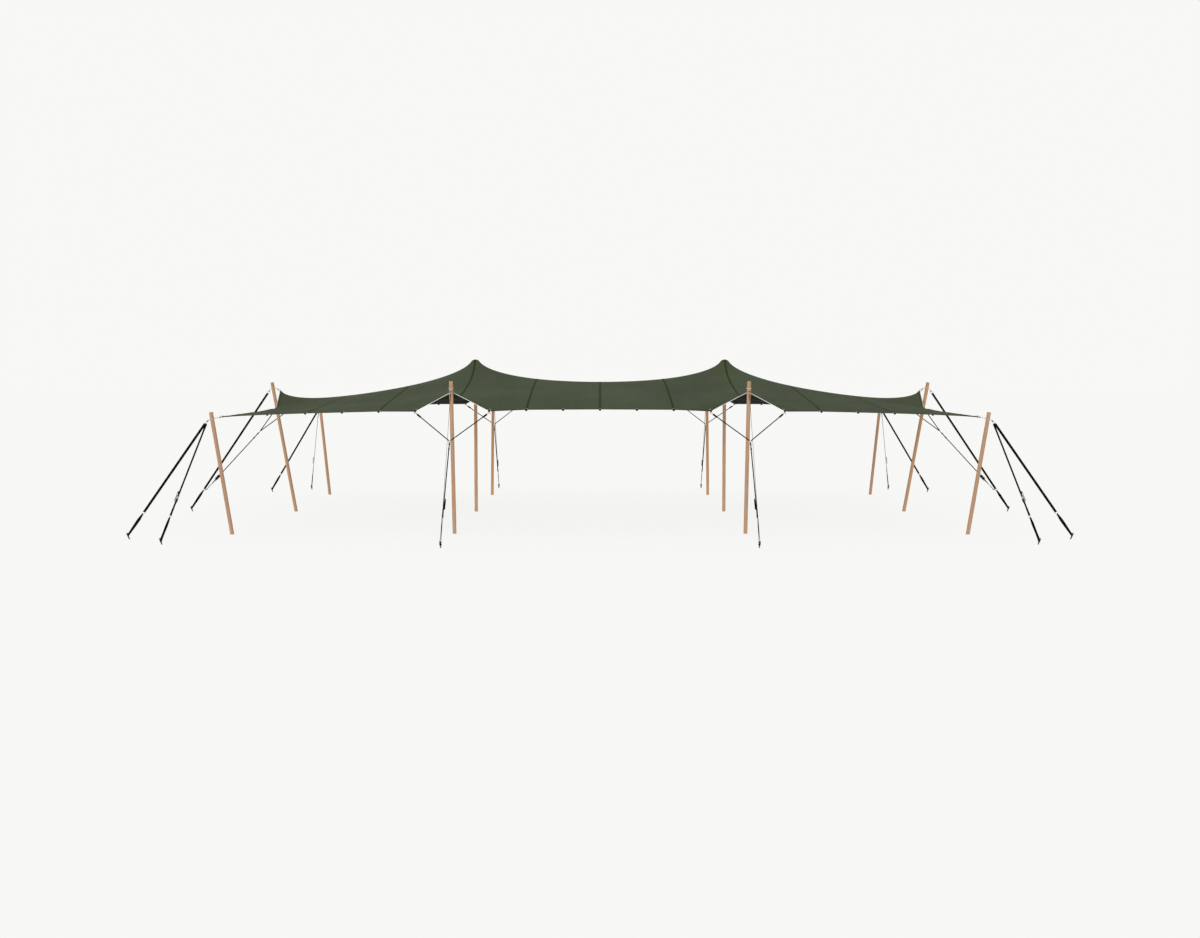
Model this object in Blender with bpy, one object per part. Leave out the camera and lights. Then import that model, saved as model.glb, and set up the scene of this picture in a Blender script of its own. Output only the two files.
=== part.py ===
"""Stretch tent: one tensioned sheet on twelve timber poles, held by guys, bridles and stakes.

Metres, +Z up, front towards -Y. The tent is symmetric left to right and front to back, so each
rigging set is built once at +X and +Y and mirrored.
"""

import math

import bmesh
import bpy
import numpy as np
from mathutils import Matrix, Vector

# Driving dimensions of the cloth
CLOTH_LENGTH = 15.0
CLOTH_DEPTH = 10.0
CLOTH_THICKNESS = 0.010
ACROSS_PULL = 1.05
CLOTH_CROWN = 0.018
PEAK_PULL = 1.5
PEAK_REACH = 0.35
SHORT_EDGE_FADE = 8
HALF_LENGTH = CLOTH_LENGTH / 2
HALF_DEPTH = CLOTH_DEPTH / 2
EDGE_LOOP_STEP = 0.75
SIDE_LOOP_STEP = CLOTH_DEPTH / 12

# Poles: foot on the ground, lean of the top away from the foot, height of the top's centre
POLE_RADIUS = 0.040
POLE_SIDES = 16
POLE_TOP_BEVEL = 0.004
CORNER_FOOT = Vector((7.55, 5.20, 0.0))
CORNER_TOP = Vector((7.86, 5.51, 2.51))
EDGE_X = 3.0
EDGE_FOOT = Vector((EDGE_X, 5.06, 0.0))
EDGE_TOP = Vector((EDGE_X, 5.59, 3.13))
SIDE_FOOT = Vector((7.365, 0.0, 0.0))
SIDE_TOP = Vector((7.905, 0.0, 3.12))

# Centre poles with their rounded heads
HEAD_SPHERE_RADIUS = 0.130
HEAD_CAP_ANGLE = math.radians(38)
HEAD_APEX_Z = 3.660
HEAD_RIM = 0.030
HEAD_NECK_RADIUS = 0.052
HEAD_NECK_DROP = 0.016
HEAD_SIDES = 20
TOUCH_GAP = 0.0003
JOIN_MERGE = 0.0001
CLOTH_OVER_HEAD = 0.0044
CLOTH_HELD_RADIUS = 0.102

# Canopy edge: tips are tied to poles, pulls are drawn down by the bridles
CORNER_TIP = (7.66, 5.33, 2.42)
EDGE_TIP = (EDGE_X, 5.42, 2.92)
SIDE_TIP = (7.71, 0.0, 2.92)
EDGE_PULL = (EDGE_X, 5.37, 2.5275)
SIDE_PULL = (7.62, 0.85, 2.51)

# Long edge, from the middle to the corner: place along the cut, x, distance out, height
LONG_EDGE = (
    (0.0, 0.0, 5.25, 2.567),
    (1.5, 1.5, 5.28, 2.560),
    (2.25, 2.25, EDGE_PULL[1], 2.530),
    (EDGE_X, *EDGE_TIP),
    (3.75, 3.75, EDGE_PULL[1], 2.525),
    (4.5, 4.5, 5.31, 2.524),
    (6.0, 6.0, 5.27, 2.486),
    (6.75, 6.77, 5.28, 2.460),
    (HALF_LENGTH, *CORNER_TIP),
)

# Short edge, from the middle to the corner: place along the cut, distance out, y, height
SHORT_EDGE = (
    (0.0, *SIDE_TIP),
    (SIDE_LOOP_STEP, *SIDE_PULL),
    (2 * SIDE_LOOP_STEP, 7.59, 1.70, 2.495),
    (2.5, 7.58, 2.56, 2.470),
    (3.7, 7.60, 3.86, 2.450),
    (HALF_DEPTH, *CORNER_TIP),
)

# Grid of the cloth: steps away from a pole's line, then even steps to the edge
NEAR_STEPS = (0.035, 0.065, 0.09, 0.14, 0.24, 0.46)
INNER_LINES = (0.0, 0.75, 1.5)
OUTER_LINES = (4.35, 5.1, 5.85, 6.55, 7.1, HALF_LENGTH)
ACROSS_LINES = (SIDE_LOOP_STEP, 1.4, 2.1, 2.9, 3.7, 4.3, 4.7, HALF_DEPTH)
RELAX_ROUNDS = 1500
RELAX_PACE = 1.85

# Guy lines
ROPE_RADIUS = 0.008
RING_RADIUS = 0.026
RING_WIRE = 0.005
WIDE_RING_RADIUS = 0.036
WIDE_RING_SPREAD = math.radians(50)
EYE_RADIUS = 0.022
EYE_WIRE = 0.005
EYE_POINTS = 8
STRAP_WIDTH = 0.045
STRAP_THICKNESS = 0.005
COLLAR_DROP = 0.135
COLLAR_SLACK = 0.0005
COLLAR_POINTS = 16
CORNER_RING_SHIFT = Vector((0.080, 0.080, -0.215))
EDGE_RING_OUT = 0.095
EDGE_RING_DROP = 0.245
CORNER_RING_FRACTION = 0.80
EDGE_RING_FRACTION = 0.838

# Webbing slings between the lower rings and the stakes
SLING_THICKNESS = 0.004
SLING_HALF_WIDTHS = (0.014, 0.030, 0.028, 0.023, 0.019)
SLING_BITE = 0.003
SLING_SLACK = 0.0006
SLING_RING_TURN = (-60, 0, 60)
SLING_STAKE_TURN = (75, 50, 25, 0, -25, -50, -75)

# Stakes: shaft cut flat at the ground, head away from the tent
STAKE_RADIUS = 0.0125
STAKE_HEAD_RADIUS = 0.024
STAKE_LENGTH = 0.130
STAKE_HEAD_THICKNESS = 0.012
STAKE_TIE = 0.082
STAKE_LEAN = math.radians(20)
STAKE_SIDES = 12
OUTER_STAKE = Vector((9.355, 6.11, 0.0))
INNER_STAKE = Vector((8.425, 7.03, 0.0))
EDGE_STAKE = Vector((EDGE_X, 7.59, 0.0))
SIDE_STAKE = Vector((9.87, 0.0, 0.0))

# Bridles: height and reach of the pulley ring where the two legs meet
BRIDLE_VERTEX_OUT = 0.85
BRIDLE_VERTEX_Z = 1.94
EDGE_RATCHET_FRACTION = 0.845
SIDE_RATCHET_FRACTION = 0.79
CORNER_RATCHET_FRACTION = 0.652
BRIDLE_EYE_TURN = math.radians(60)
LINK_SLACK = 0.0008
BRIDLE_PULL_SLOPE = 1.6

# Ratchet: side plates, two cross rods and the closed handle
RATCHET_PLATE = (0.150, 0.004, 0.040)
RATCHET_HALF_WIDTH = 0.030
RATCHET_ROD_RADIUS = 0.007
RATCHET_HANDLE = (0.240, 0.060, 0.014)
RATCHET_PLATE_LIFT = 0.30
RATCHET_ROD_LIFT = 0.05
RATCHET_HANDLE_LIFT = 0.62
RATCHET_ROD_PLACES = (-0.40, 0.10, 0.40)

UP = Vector((0.0, 0.0, 1.0))


def clear_scene():
    """Remove every object that the file opened with."""
    for item in list(bpy.data.objects):
        bpy.data.objects.remove(item, do_unlink=True)


def finish(name, colour, roughness, metallic=0.0):
    """Make one Principled material."""
    material = bpy.data.materials.new(name)
    material.use_nodes = True
    shader = material.node_tree.nodes["Principled BSDF"]
    shader.inputs["Base Color"].default_value = (*colour, 1.0)
    shader.inputs["Roughness"].default_value = roughness
    shader.inputs["Metallic"].default_value = metallic
    return material


def add_object(name, mesh, material):
    """Link a mesh into the scene as one named node with its own material."""
    mesh.materials.clear()
    mesh.materials.append(material)
    item = bpy.data.objects.new(name, mesh)
    bpy.context.scene.collection.objects.link(item)
    return item


def mesh_from_bmesh(shape):
    """Turn a bmesh into a mesh with its faces pointing outward."""
    bmesh.ops.recalc_face_normals(shape, faces=shape.faces)
    mesh = bpy.data.meshes.new("shape")
    shape.to_mesh(mesh)
    shape.free()
    return mesh


def line_frame(start, end):
    """Axes of a line: along it, level across it, and square to both on its upper side."""
    along = (end - start).normalized()
    across = along.cross(UP).normalized()
    normal = across.cross(along)
    return along, across, normal


def tube(points, radius, cyclic=False, flats=6):
    """Sweep a tube of 4 or 6 flats along a polyline, with a curve's own bevel."""
    curve = bpy.data.curves.new("tube", "CURVE")
    curve.dimensions = "3D"
    curve.bevel_depth = radius
    curve.bevel_resolution = (flats - 4) // 2
    curve.use_fill_caps = not cyclic
    spline = curve.splines.new("POLY")
    spline.points.add(len(points) - 1)
    for place, point in zip(spline.points, points):
        place.co = (*point, 1.0)
    spline.use_cyclic_u = cyclic
    carrier = bpy.data.objects.new("tube", curve)
    mesh = bpy.data.meshes.new_from_object(carrier)
    bpy.data.objects.remove(carrier)
    shape = bmesh.new()
    shape.from_mesh(mesh)
    bmesh.ops.remove_doubles(shape, verts=shape.verts, dist=0.00001)
    return mesh_from_bmesh(shape)


def ring(centre, first, second, radius, wire, points=12):
    """A closed ring in the plane of two square axes."""
    turns = [2 * math.pi * k / points for k in range(points)]
    path = [centre + (first * math.cos(a) + second * math.sin(a)) * radius for a in turns]
    return tube(path, wire, cyclic=True)


def bar(centre, axes, size):
    """A box with its centre, its three axes and its size along each."""
    shape = bmesh.new()
    bmesh.ops.create_cube(shape, size=1.0)
    turn = Matrix([axes[0] * size[0], axes[1] * size[1], axes[2] * size[2]]).transposed().to_4x4()
    bmesh.ops.transform(shape, matrix=Matrix.Translation(centre) @ turn, verts=shape.verts)
    return mesh_from_bmesh(shape)


def turned(foot, axis, profile, sides, cut_at_ground=False):
    """A round piece about an axis, from (distance, radius) pairs; its foot may be cut level."""
    first = axis.orthogonal().normalized() if abs(axis.z) > 0.9999 else axis.cross(UP).normalized()
    second = axis.cross(first)
    shape = bmesh.new()
    rows = []
    for distance, radius in profile:
        row = []
        for k in range(sides):
            angle = 2 * math.pi * k / sides
            point = foot + axis * distance
            point = point + (first * math.cos(angle) + second * math.sin(angle)) * radius
            if cut_at_ground and not rows:
                point = point - axis * (point.z / axis.z)
            row.append(shape.verts.new(point))
        rows.append(row)
    for low, high in zip(rows, rows[1:]):
        for k in range(sides):
            after = (k + 1) % sides
            shape.faces.new((low[k], low[after], high[after], high[k]))
    shape.faces.new(rows[0])
    shape.faces.new(rows[-1])
    return mesh_from_bmesh(shape)


def fuse(meshes):
    """Join overlapping closed meshes into one closed body."""
    group = bpy.data.collections.new("operands")
    bpy.context.scene.collection.children.link(group)
    base = bpy.data.objects.new("base", meshes[0])
    bpy.context.scene.collection.objects.link(base)
    for mesh in meshes[1:]:
        group.objects.link(bpy.data.objects.new("operand", mesh))
    joint = base.modifiers.new("join", "BOOLEAN")
    joint.operation = "UNION"
    joint.solver = "EXACT"
    joint.operand_type = "COLLECTION"
    joint.collection = group
    bpy.context.view_layer.update()
    view = bpy.context.evaluated_depsgraph_get()
    result = bpy.data.meshes.new_from_object(base.evaluated_get(view))
    for item in list(group.objects) + [base]:
        bpy.data.objects.remove(item, do_unlink=True)
    bpy.data.collections.remove(group)
    shape = bmesh.new()
    shape.from_mesh(result)
    bmesh.ops.remove_doubles(shape, verts=shape.verts, dist=JOIN_MERGE)
    bpy.data.meshes.remove(result)
    return mesh_from_bmesh(shape)


def mirrored(mesh, side_x, side_y):
    """A copy of a mesh on another side of the tent, with outward faces."""
    shape = bmesh.new()
    shape.from_mesh(mesh)
    bmesh.ops.transform(shape, matrix=Matrix.Diagonal((side_x, side_y, 1.0, 1.0)), verts=shape.verts)
    return mesh_from_bmesh(shape)


def both_ways(positive):
    """Grid lines on both sides of zero."""
    return np.array([-x for x in reversed(positive) if x > 0] + list(positive))


def grid_lines():
    """Lines of the cloth grid, closer together round the centre poles and the side tips."""
    near = [0.0, *NEAR_STEPS, EDGE_LOOP_STEP]
    pole_lines = sorted({EDGE_X + side * step for step in near for side in (-1, 1)})
    along = [*INNER_LINES, *pole_lines, *OUTER_LINES]
    across = [0.0, *NEAR_STEPS, *ACROSS_LINES]
    return both_ways(along), both_ways(across)


def front_edge(along):
    """Places along the long edge: x, distance out from the centre line, and height."""
    loops, x_at, out_at, z_at = zip(*LONG_EDGE)
    reach = np.abs(along)
    x = np.sign(along) * np.interp(reach, loops, x_at)
    return x, np.interp(reach, loops, out_at), np.interp(reach, loops, z_at)


def side_edge(across):
    """Places along the short edge: distance out, y, and height."""
    loops, out_at, y_at, z_at = zip(*SHORT_EDGE)
    reach = np.abs(across)
    y = np.sign(across) * np.interp(reach, loops, y_at)
    return np.interp(reach, loops, out_at), y, np.interp(reach, loops, z_at)


def blend_edges(along, across, long_edge, short_edge):
    """Spread the edges' shift from the flat cut over the sheet; the short edges' fades quickly."""
    t = ((along + HALF_LENGTH) / CLOTH_LENGTH)[:, None]
    s = ((across + HALF_DEPTH) / CLOTH_DEPTH)[None, :]
    sheet = (1 - s) * long_edge[0][:, None] + s * long_edge[1][:, None]
    left = short_edge[0][None, :] - sheet[:1, :]
    right = short_edge[1][None, :] - sheet[-1:, :]
    return sheet + (1 - t) ** SHORT_EDGE_FADE * left + t**SHORT_EDGE_FADE * right


def relax(height, held, tension, along, across):
    """Settle the free heights so that each lies at the weighted mean of its four neighbours."""
    west = (along[1:-1] - along[:-2])[:, None]
    east = (along[2:] - along[1:-1])[:, None]
    south = (across[1:-1] - across[:-2])[None, :]
    north = (across[2:] - across[1:-1])[None, :]
    own = tension[1:-1, 1:-1]
    pull = [(own + tension[:-2, 1:-1]) / 2 / (west * (west + east))]
    pull.append((own + tension[2:, 1:-1]) / 2 / (east * (west + east)))
    pull.append(ACROSS_PULL * (own + tension[1:-1, :-2]) / 2 / (south * (south + north)))
    pull.append(ACROSS_PULL * (own + tension[1:-1, 2:]) / 2 / (north * (south + north)))
    total = pull[0] + pull[1] + pull[2] + pull[3]
    rows, columns = np.indices((len(along) - 2, len(across) - 2))
    free = ~held[1:-1, 1:-1]
    colours = [free & ((rows + columns) % 2 == k) for k in (0, 1)]
    for _ in range(RELAX_ROUNDS):
        for chosen in colours:
            mean = pull[0] * height[:-2, 1:-1] + pull[1] * height[2:, 1:-1]
            mean = mean + pull[2] * height[1:-1, :-2] + pull[3] * height[1:-1, 2:]
            step = RELAX_PACE * ((mean + CLOTH_CROWN / 2) / total - height[1:-1, 1:-1])
            height[1:-1, 1:-1] += np.where(chosen, step, 0.0)
    return height


def canopy_surface():
    """Points of the cloth's middle surface as a grid, shape (along, across, 3)."""
    along, across = grid_lines()
    edge_x, edge_out, edge_z = front_edge(along)
    side_out, side_y, side_z = side_edge(across)
    shift_x = blend_edges(along, across, (edge_x - along, edge_x - along),
                          (HALF_LENGTH - side_out, side_out - HALF_LENGTH))
    shift_y = blend_edges(along, across, (HALF_DEPTH - edge_out, edge_out - HALF_DEPTH),
                          (side_y - across, side_y - across))
    x = along[:, None] + shift_x
    y = across[None, :] + shift_y
    z = blend_edges(along, across, (edge_z, edge_z), (side_z, side_z))
    radius = np.hypot(np.abs(x) - EDGE_X, y)
    ball = HEAD_SPHERE_RADIUS + CLOTH_OVER_HEAD + CLOTH_THICKNESS / 2
    ball_centre = HEAD_APEX_Z - HEAD_SPHERE_RADIUS
    on_head = radius < CLOTH_HELD_RADIUS
    z = np.where(on_head, ball_centre + np.sqrt(np.maximum(ball**2 - radius**2, 0.0)), z)
    held = on_head.copy()
    held[[0, -1], :] = True
    held[:, [0, -1]] = True
    tension = 1 + PEAK_PULL * np.exp(-radius / PEAK_REACH)
    return np.stack([x, y, relax(z, held, tension, along, across)], axis=-1)


def canopy_mesh():
    """The cloth as one closed sheet, its two faces joined round the hem."""
    middle = canopy_surface()
    slope_along = np.gradient(middle, axis=0)
    slope_across = np.gradient(middle, axis=1)
    normal = np.cross(slope_along, slope_across)
    normal = normal / np.linalg.norm(normal, axis=-1, keepdims=True)
    half = normal * CLOTH_THICKNESS / 2
    count_a, count_b = middle.shape[:2]
    points = np.concatenate([(middle + half).reshape(-1, 3), (middle - half).reshape(-1, 3)])
    index = np.arange(count_a * count_b).reshape(count_a, count_b)
    corners = [index[:-1, :-1], index[1:, :-1], index[1:, 1:], index[:-1, 1:]]
    top = np.stack(corners, axis=-1).reshape(-1, 4)
    under = top[:, ::-1] + index.size
    rim = np.concatenate([index[:-1, 0], index[-1, :-1], index[:0:-1, -1], index[0, :0:-1]])
    after = np.roll(rim, -1)
    hem = np.stack([rim, rim + index.size, after + index.size, after], axis=-1)
    mesh = bpy.data.meshes.new("canopy")
    mesh.from_pydata(points.tolist(), [], np.concatenate([top, under, hem]).tolist())
    shape = bmesh.new()
    shape.from_mesh(mesh)
    bpy.data.meshes.remove(mesh)
    return mesh_from_bmesh(shape)


def pole_mesh(foot, top):
    """A round pole, cut level at the ground and square at its head."""
    axis = (top - foot).normalized()
    length = (top - foot).length
    profile = [(0.0, POLE_RADIUS), (length - POLE_TOP_BEVEL, POLE_RADIUS)]
    profile.append((length, POLE_RADIUS - POLE_TOP_BEVEL))
    return turned(foot, axis, profile, POLE_SIDES, cut_at_ground=True)


def head_parts():
    """Profile heights of a centre pole's head: rim, neck and the pole's top below it."""
    centre_z = HEAD_APEX_Z - HEAD_SPHERE_RADIUS
    rim_z = centre_z + HEAD_SPHERE_RADIUS * math.cos(HEAD_CAP_ANGLE)
    neck_z = rim_z - HEAD_RIM - HEAD_NECK_DROP
    return centre_z, rim_z, neck_z


def head_mesh():
    """The rounded head that carries a peak of the cloth."""
    centre_z, rim_z, neck_z = head_parts()
    rim_radius = HEAD_SPHERE_RADIUS * math.sin(HEAD_CAP_ANGLE)
    profile = [(0.0, HEAD_NECK_RADIUS), (rim_z - HEAD_RIM - neck_z, rim_radius)]
    steps = 5
    for k in range(steps + 1):
        angle = HEAD_CAP_ANGLE * (1 - k / steps) + math.radians(6) * k / steps
        height = centre_z + HEAD_SPHERE_RADIUS * math.cos(angle) - neck_z
        profile.append((height, HEAD_SPHERE_RADIUS * math.sin(angle)))
    return turned(Vector((EDGE_X, 0.0, neck_z)), UP, profile, HEAD_SIDES)


def stake_axis(outward):
    """A stake's direction, its head leaning away from the tent."""
    return (UP * math.cos(STAKE_LEAN) + outward * math.sin(STAKE_LEAN)).normalized()


def stake_mesh(place, outward):
    """A round steel stake from the ground up to its flat head."""
    neck = STAKE_LENGTH - STAKE_HEAD_THICKNESS
    profile = [(0.0, STAKE_RADIUS), (neck, STAKE_RADIUS), (neck, STAKE_HEAD_RADIUS)]
    profile.append((STAKE_LENGTH, STAKE_HEAD_RADIUS))
    return turned(place, stake_axis(outward), profile, STAKE_SIDES, cut_at_ground=True)


def outward_from(foot, place):
    """The level direction from a pole's foot to a stake."""
    flat = place - foot
    flat.z = 0.0
    return flat.normalized()


def webbing_band(path, wides, half_widths):
    """A closed band of webbing from its path, the direction of its width and half that width."""
    shape = bmesh.new()
    rows = []
    for k, (point, wide, half) in enumerate(zip(path, wides, half_widths)):
        run = path[(k + 1) % len(path)] - path[k - 1]
        out = run.cross(wide).normalized() * SLING_THICKNESS / 2
        corners = (out + wide * half, -out + wide * half, -out - wide * half, out - wide * half)
        rows.append([shape.verts.new(point + corner) for corner in corners])
    for row, after in zip(rows, rows[1:] + rows[:1]):
        for j in range(4):
            following = (j + 1) % 4
            shape.faces.new((row[j], row[following], after[following], after[j]))
    return mesh_from_bmesh(shape)


def sling(ring_centre, tie, axis):
    """The webbing sling on edge that runs from the lower ring's wire round the stake."""
    along, across, normal = line_frame(ring_centre, tie)
    start = ring_centre + along * RING_RADIUS
    length = (tie - start).length
    inner = RING_WIRE + SLING_THICKNESS / 2 - SLING_BITE
    oval = STAKE_RADIUS / math.sqrt(1 - along.dot(axis) ** 2)
    outer = oval + SLING_THICKNESS / 2 + SLING_SLACK
    count = len(SLING_HALF_WIDTHS) - 1
    side = [(k / count, inner + (outer - inner) * k / count) for k in range(1, count)]
    path = [(-inner * math.cos(a), inner * math.sin(a), 0.0) for a in map(math.radians, SLING_RING_TURN)]
    path += [(length * share, width, share) for share, width in side]
    path += [(length + outer * math.cos(a), outer * math.sin(a), 1.0)
             for a in map(math.radians, SLING_STAKE_TURN)]
    path += [(length * share, -width, share) for share, width in reversed(side)]
    points = [start + along * s + across * w for s, w, _ in path]
    wides = [normal.lerp(axis, share).normalized() for _, _, share in path]
    halves = np.interp([share * count for _, _, share in path], range(count + 1), SLING_HALF_WIDTHS)
    return webbing_band(points, wides, halves.tolist())


def strap(start, end):
    """Flat webbing set on edge between two points on rings' wires."""
    along, across, normal = line_frame(start, end)
    size = ((end - start).length, STRAP_THICKNESS, STRAP_WIDTH)
    return bar((start + end) / 2, (along, across, normal), size)


def ratchet(start, end, fraction, side):
    """A closed ratchet on a strap set on edge: side plates, cross rods and a folded handle."""
    along, across, normal = line_frame(start, end)
    centre = start.lerp(end, fraction)
    face = across * side
    axes = (along, normal, across)
    length, thick, tall = RATCHET_PLATE
    parts = []
    for hand in (-1, 1):
        place = centre + normal * hand * RATCHET_HALF_WIDTH + face * tall * RATCHET_PLATE_LIFT
        parts.append(bar(place, axes, (length, thick, tall)))
    for share in RATCHET_ROD_PLACES:
        middle = centre + along * length * share + face * tall * RATCHET_ROD_LIFT
        ends = [middle - normal * RATCHET_HALF_WIDTH, middle + normal * RATCHET_HALF_WIDTH]
        parts.append(tube(ends, RATCHET_ROD_RADIUS))
    reach, width, deep = RATCHET_HANDLE
    grip = centre - along * (reach - length) / 2 + face * tall * RATCHET_HANDLE_LIFT
    parts.append(bar(grip, axes, (reach, width, deep)))
    return parts


def head_sling(tip, foot, top, outward, ring_top):
    """Rope from the canopy's tip, collared round the pole, to the top of the ring outside it."""
    axis = (top - foot).normalized()
    collar = top - axis * COLLAR_DROP
    across = axis.cross(outward).normalized()
    square = across.cross(axis)
    hold = POLE_RADIUS + ROPE_RADIUS + COLLAR_SLACK
    inner = collar - square * hold
    tie = (inner - tip).normalized()
    eye = tip + tie * (EYE_RADIUS + EYE_WIRE)
    outer = collar + square * hold
    parts = [ring(collar, square, across, hold, ROPE_RADIUS, points=COLLAR_POINTS)]
    parts.append(ring(eye, tie, tie.cross(across).normalized(), EYE_RADIUS, EYE_WIRE, points=EYE_POINTS))
    parts.append(tube([eye + tie * EYE_RADIUS, inner], ROPE_RADIUS))
    parts.append(tube([outer, ring_top], ROPE_RADIUS))
    return parts


def stake_line(ring_centre, place, outward, fraction):
    """One guy: where its lower ring lies and where it meets its stake."""
    axis = stake_axis(outward)
    tie = place + axis * STAKE_TIE
    return ring_centre.lerp(tie, fraction), tie, axis


def corner_guys():
    """The corner's rope, its wide ring, two guys side by side with one ratchet, and their slings."""
    diagonal = Vector((1.0, 1.0, 0.0)).normalized()
    head = CORNER_TOP + CORNER_RING_SHIFT
    down, across, _ = line_frame(head, (OUTER_STAKE + INNER_STAKE) / 2)
    ring_top = head - down * WIDE_RING_RADIUS
    parts = head_sling(Vector(CORNER_TIP), CORNER_FOOT, CORNER_TOP, diagonal, ring_top)
    parts.append(ring(head, down, across, WIDE_RING_RADIUS, RING_WIRE))
    for place, side, has_ratchet in ((OUTER_STAKE, 1, False), (INNER_STAKE, -1, True)):
        spoke = down * math.cos(WIDE_RING_SPREAD) + across * math.sin(WIDE_RING_SPREAD) * side
        start = head + spoke * WIDE_RING_RADIUS
        outward = outward_from(CORNER_FOOT, place)
        lower, tie, axis = stake_line(start, place, outward, CORNER_RING_FRACTION)
        along, _, normal = line_frame(start, tie)
        parts.append(strap(start, lower - along * RING_RADIUS))
        parts.append(ring(lower, along, normal, RING_RADIUS, RING_WIRE))
        parts.append(sling(lower, tie, axis))
        if has_ratchet:
            parts += ratchet(start, tie, CORNER_RATCHET_FRACTION, 1)
    return fuse(parts)


def edge_lines(foot, top, place):
    """The ring outside an edge pole's head and the lower ring, tie and axis of its guy."""
    outward = outward_from(foot, place)
    head = top + outward * EDGE_RING_OUT - UP * EDGE_RING_DROP
    return (outward, head, *stake_line(head, place, outward, EDGE_RING_FRACTION))


def edge_guy(tip, foot, top, place):
    """An edge pole's rope, ring, webbing guy, lower ring and stake loop."""
    outward, head, lower, tie, axis = edge_lines(foot, top, place)
    along, _, normal = line_frame(head, tie)
    parts = head_sling(tip, foot, top, outward, head - along * RING_RADIUS)
    parts.append(ring(head, along, normal, RING_RADIUS, RING_WIRE))
    parts.append(strap(head + along * RING_RADIUS, lower - along * RING_RADIUS))
    parts.append(ring(lower, along, normal, RING_RADIUS, RING_WIRE))
    parts.append(sling(lower, tie, axis))
    return fuse(parts)


def bridle(pulls, foot, top, place, fraction, ratchet_side):
    """Two rope legs from the canopy's edge, their ring, and the rope and ratchet strap below it."""
    outward, head, lower, tie, _ = edge_lines(foot, top, place)
    along, _, normal = line_frame(head, tie)
    spoke = -along * math.cos(BRIDLE_EYE_TURN) - normal * math.sin(BRIDLE_EYE_TURN)
    eye = lower + spoke * (RING_RADIUS + EYE_RADIUS - EYE_WIRE - RING_WIRE - LINK_SLACK)
    eye_top = eye + spoke * EYE_RADIUS
    vertex = foot + outward * BRIDLE_VERTEX_OUT
    vertex.z = BRIDLE_VERTEX_Z
    run, level, _ = line_frame(vertex, eye_top)
    middle = vertex.lerp(eye_top, fraction)
    parts = [tube([vertex + run * RING_RADIUS, middle], ROPE_RADIUS), strap(middle, eye_top)]
    parts.append(ring(vertex, run, level, RING_RADIUS, RING_WIRE))
    parts.append(ring(eye, spoke, level, EYE_RADIUS, EYE_WIRE, points=EYE_POINTS))
    drop = (outward - UP * BRIDLE_PULL_SLOPE).normalized()
    for pull in pulls:
        hook = pull + drop * (EYE_RADIUS + EYE_WIRE + CLOTH_THICKNESS / 2 + TOUCH_GAP)
        leg = (vertex - hook).normalized()
        lift = leg.cross(drop).cross(leg).normalized()
        parts.append(ring(hook, leg, lift, EYE_RADIUS, EYE_WIRE, points=EYE_POINTS))
        parts.append(tube([hook + leg * EYE_RADIUS, vertex - leg * RING_RADIUS], ROPE_RADIUS))
    parts += ratchet(vertex, eye_top, fraction, ratchet_side)
    return fuse(parts)


def build_poles(timber):
    """Twelve poles and the two heads on the centre poles."""
    rubber = finish("pole_head_rubber", (0.03, 0.03, 0.03), 0.7)
    corner = pole_mesh(CORNER_FOOT, CORNER_TOP)
    edge = pole_mesh(EDGE_FOOT, EDGE_TOP)
    for side, side_x in (("left", -1), ("right", 1)):
        for face, side_y in (("front", -1), ("back", 1)):
            add_object(f"corner_pole_{face}_{side}", mirrored(corner, side_x, side_y), timber)
            add_object(f"edge_pole_{face}_{side}", mirrored(edge, side_x, side_y), timber)
        add_object(f"side_pole_{side}", mirrored(pole_mesh(SIDE_FOOT, SIDE_TOP), side_x, 1), timber)
        centre_top = Vector((EDGE_X, 0.0, head_parts()[2] - TOUCH_GAP))
        centre = pole_mesh(Vector((EDGE_X, 0.0, 0.0)), centre_top)
        add_object(f"centre_pole_{side}", mirrored(centre, side_x, 1), timber)
        add_object(f"pole_head_{side}", mirrored(head_mesh(), side_x, 1), rubber)


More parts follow.
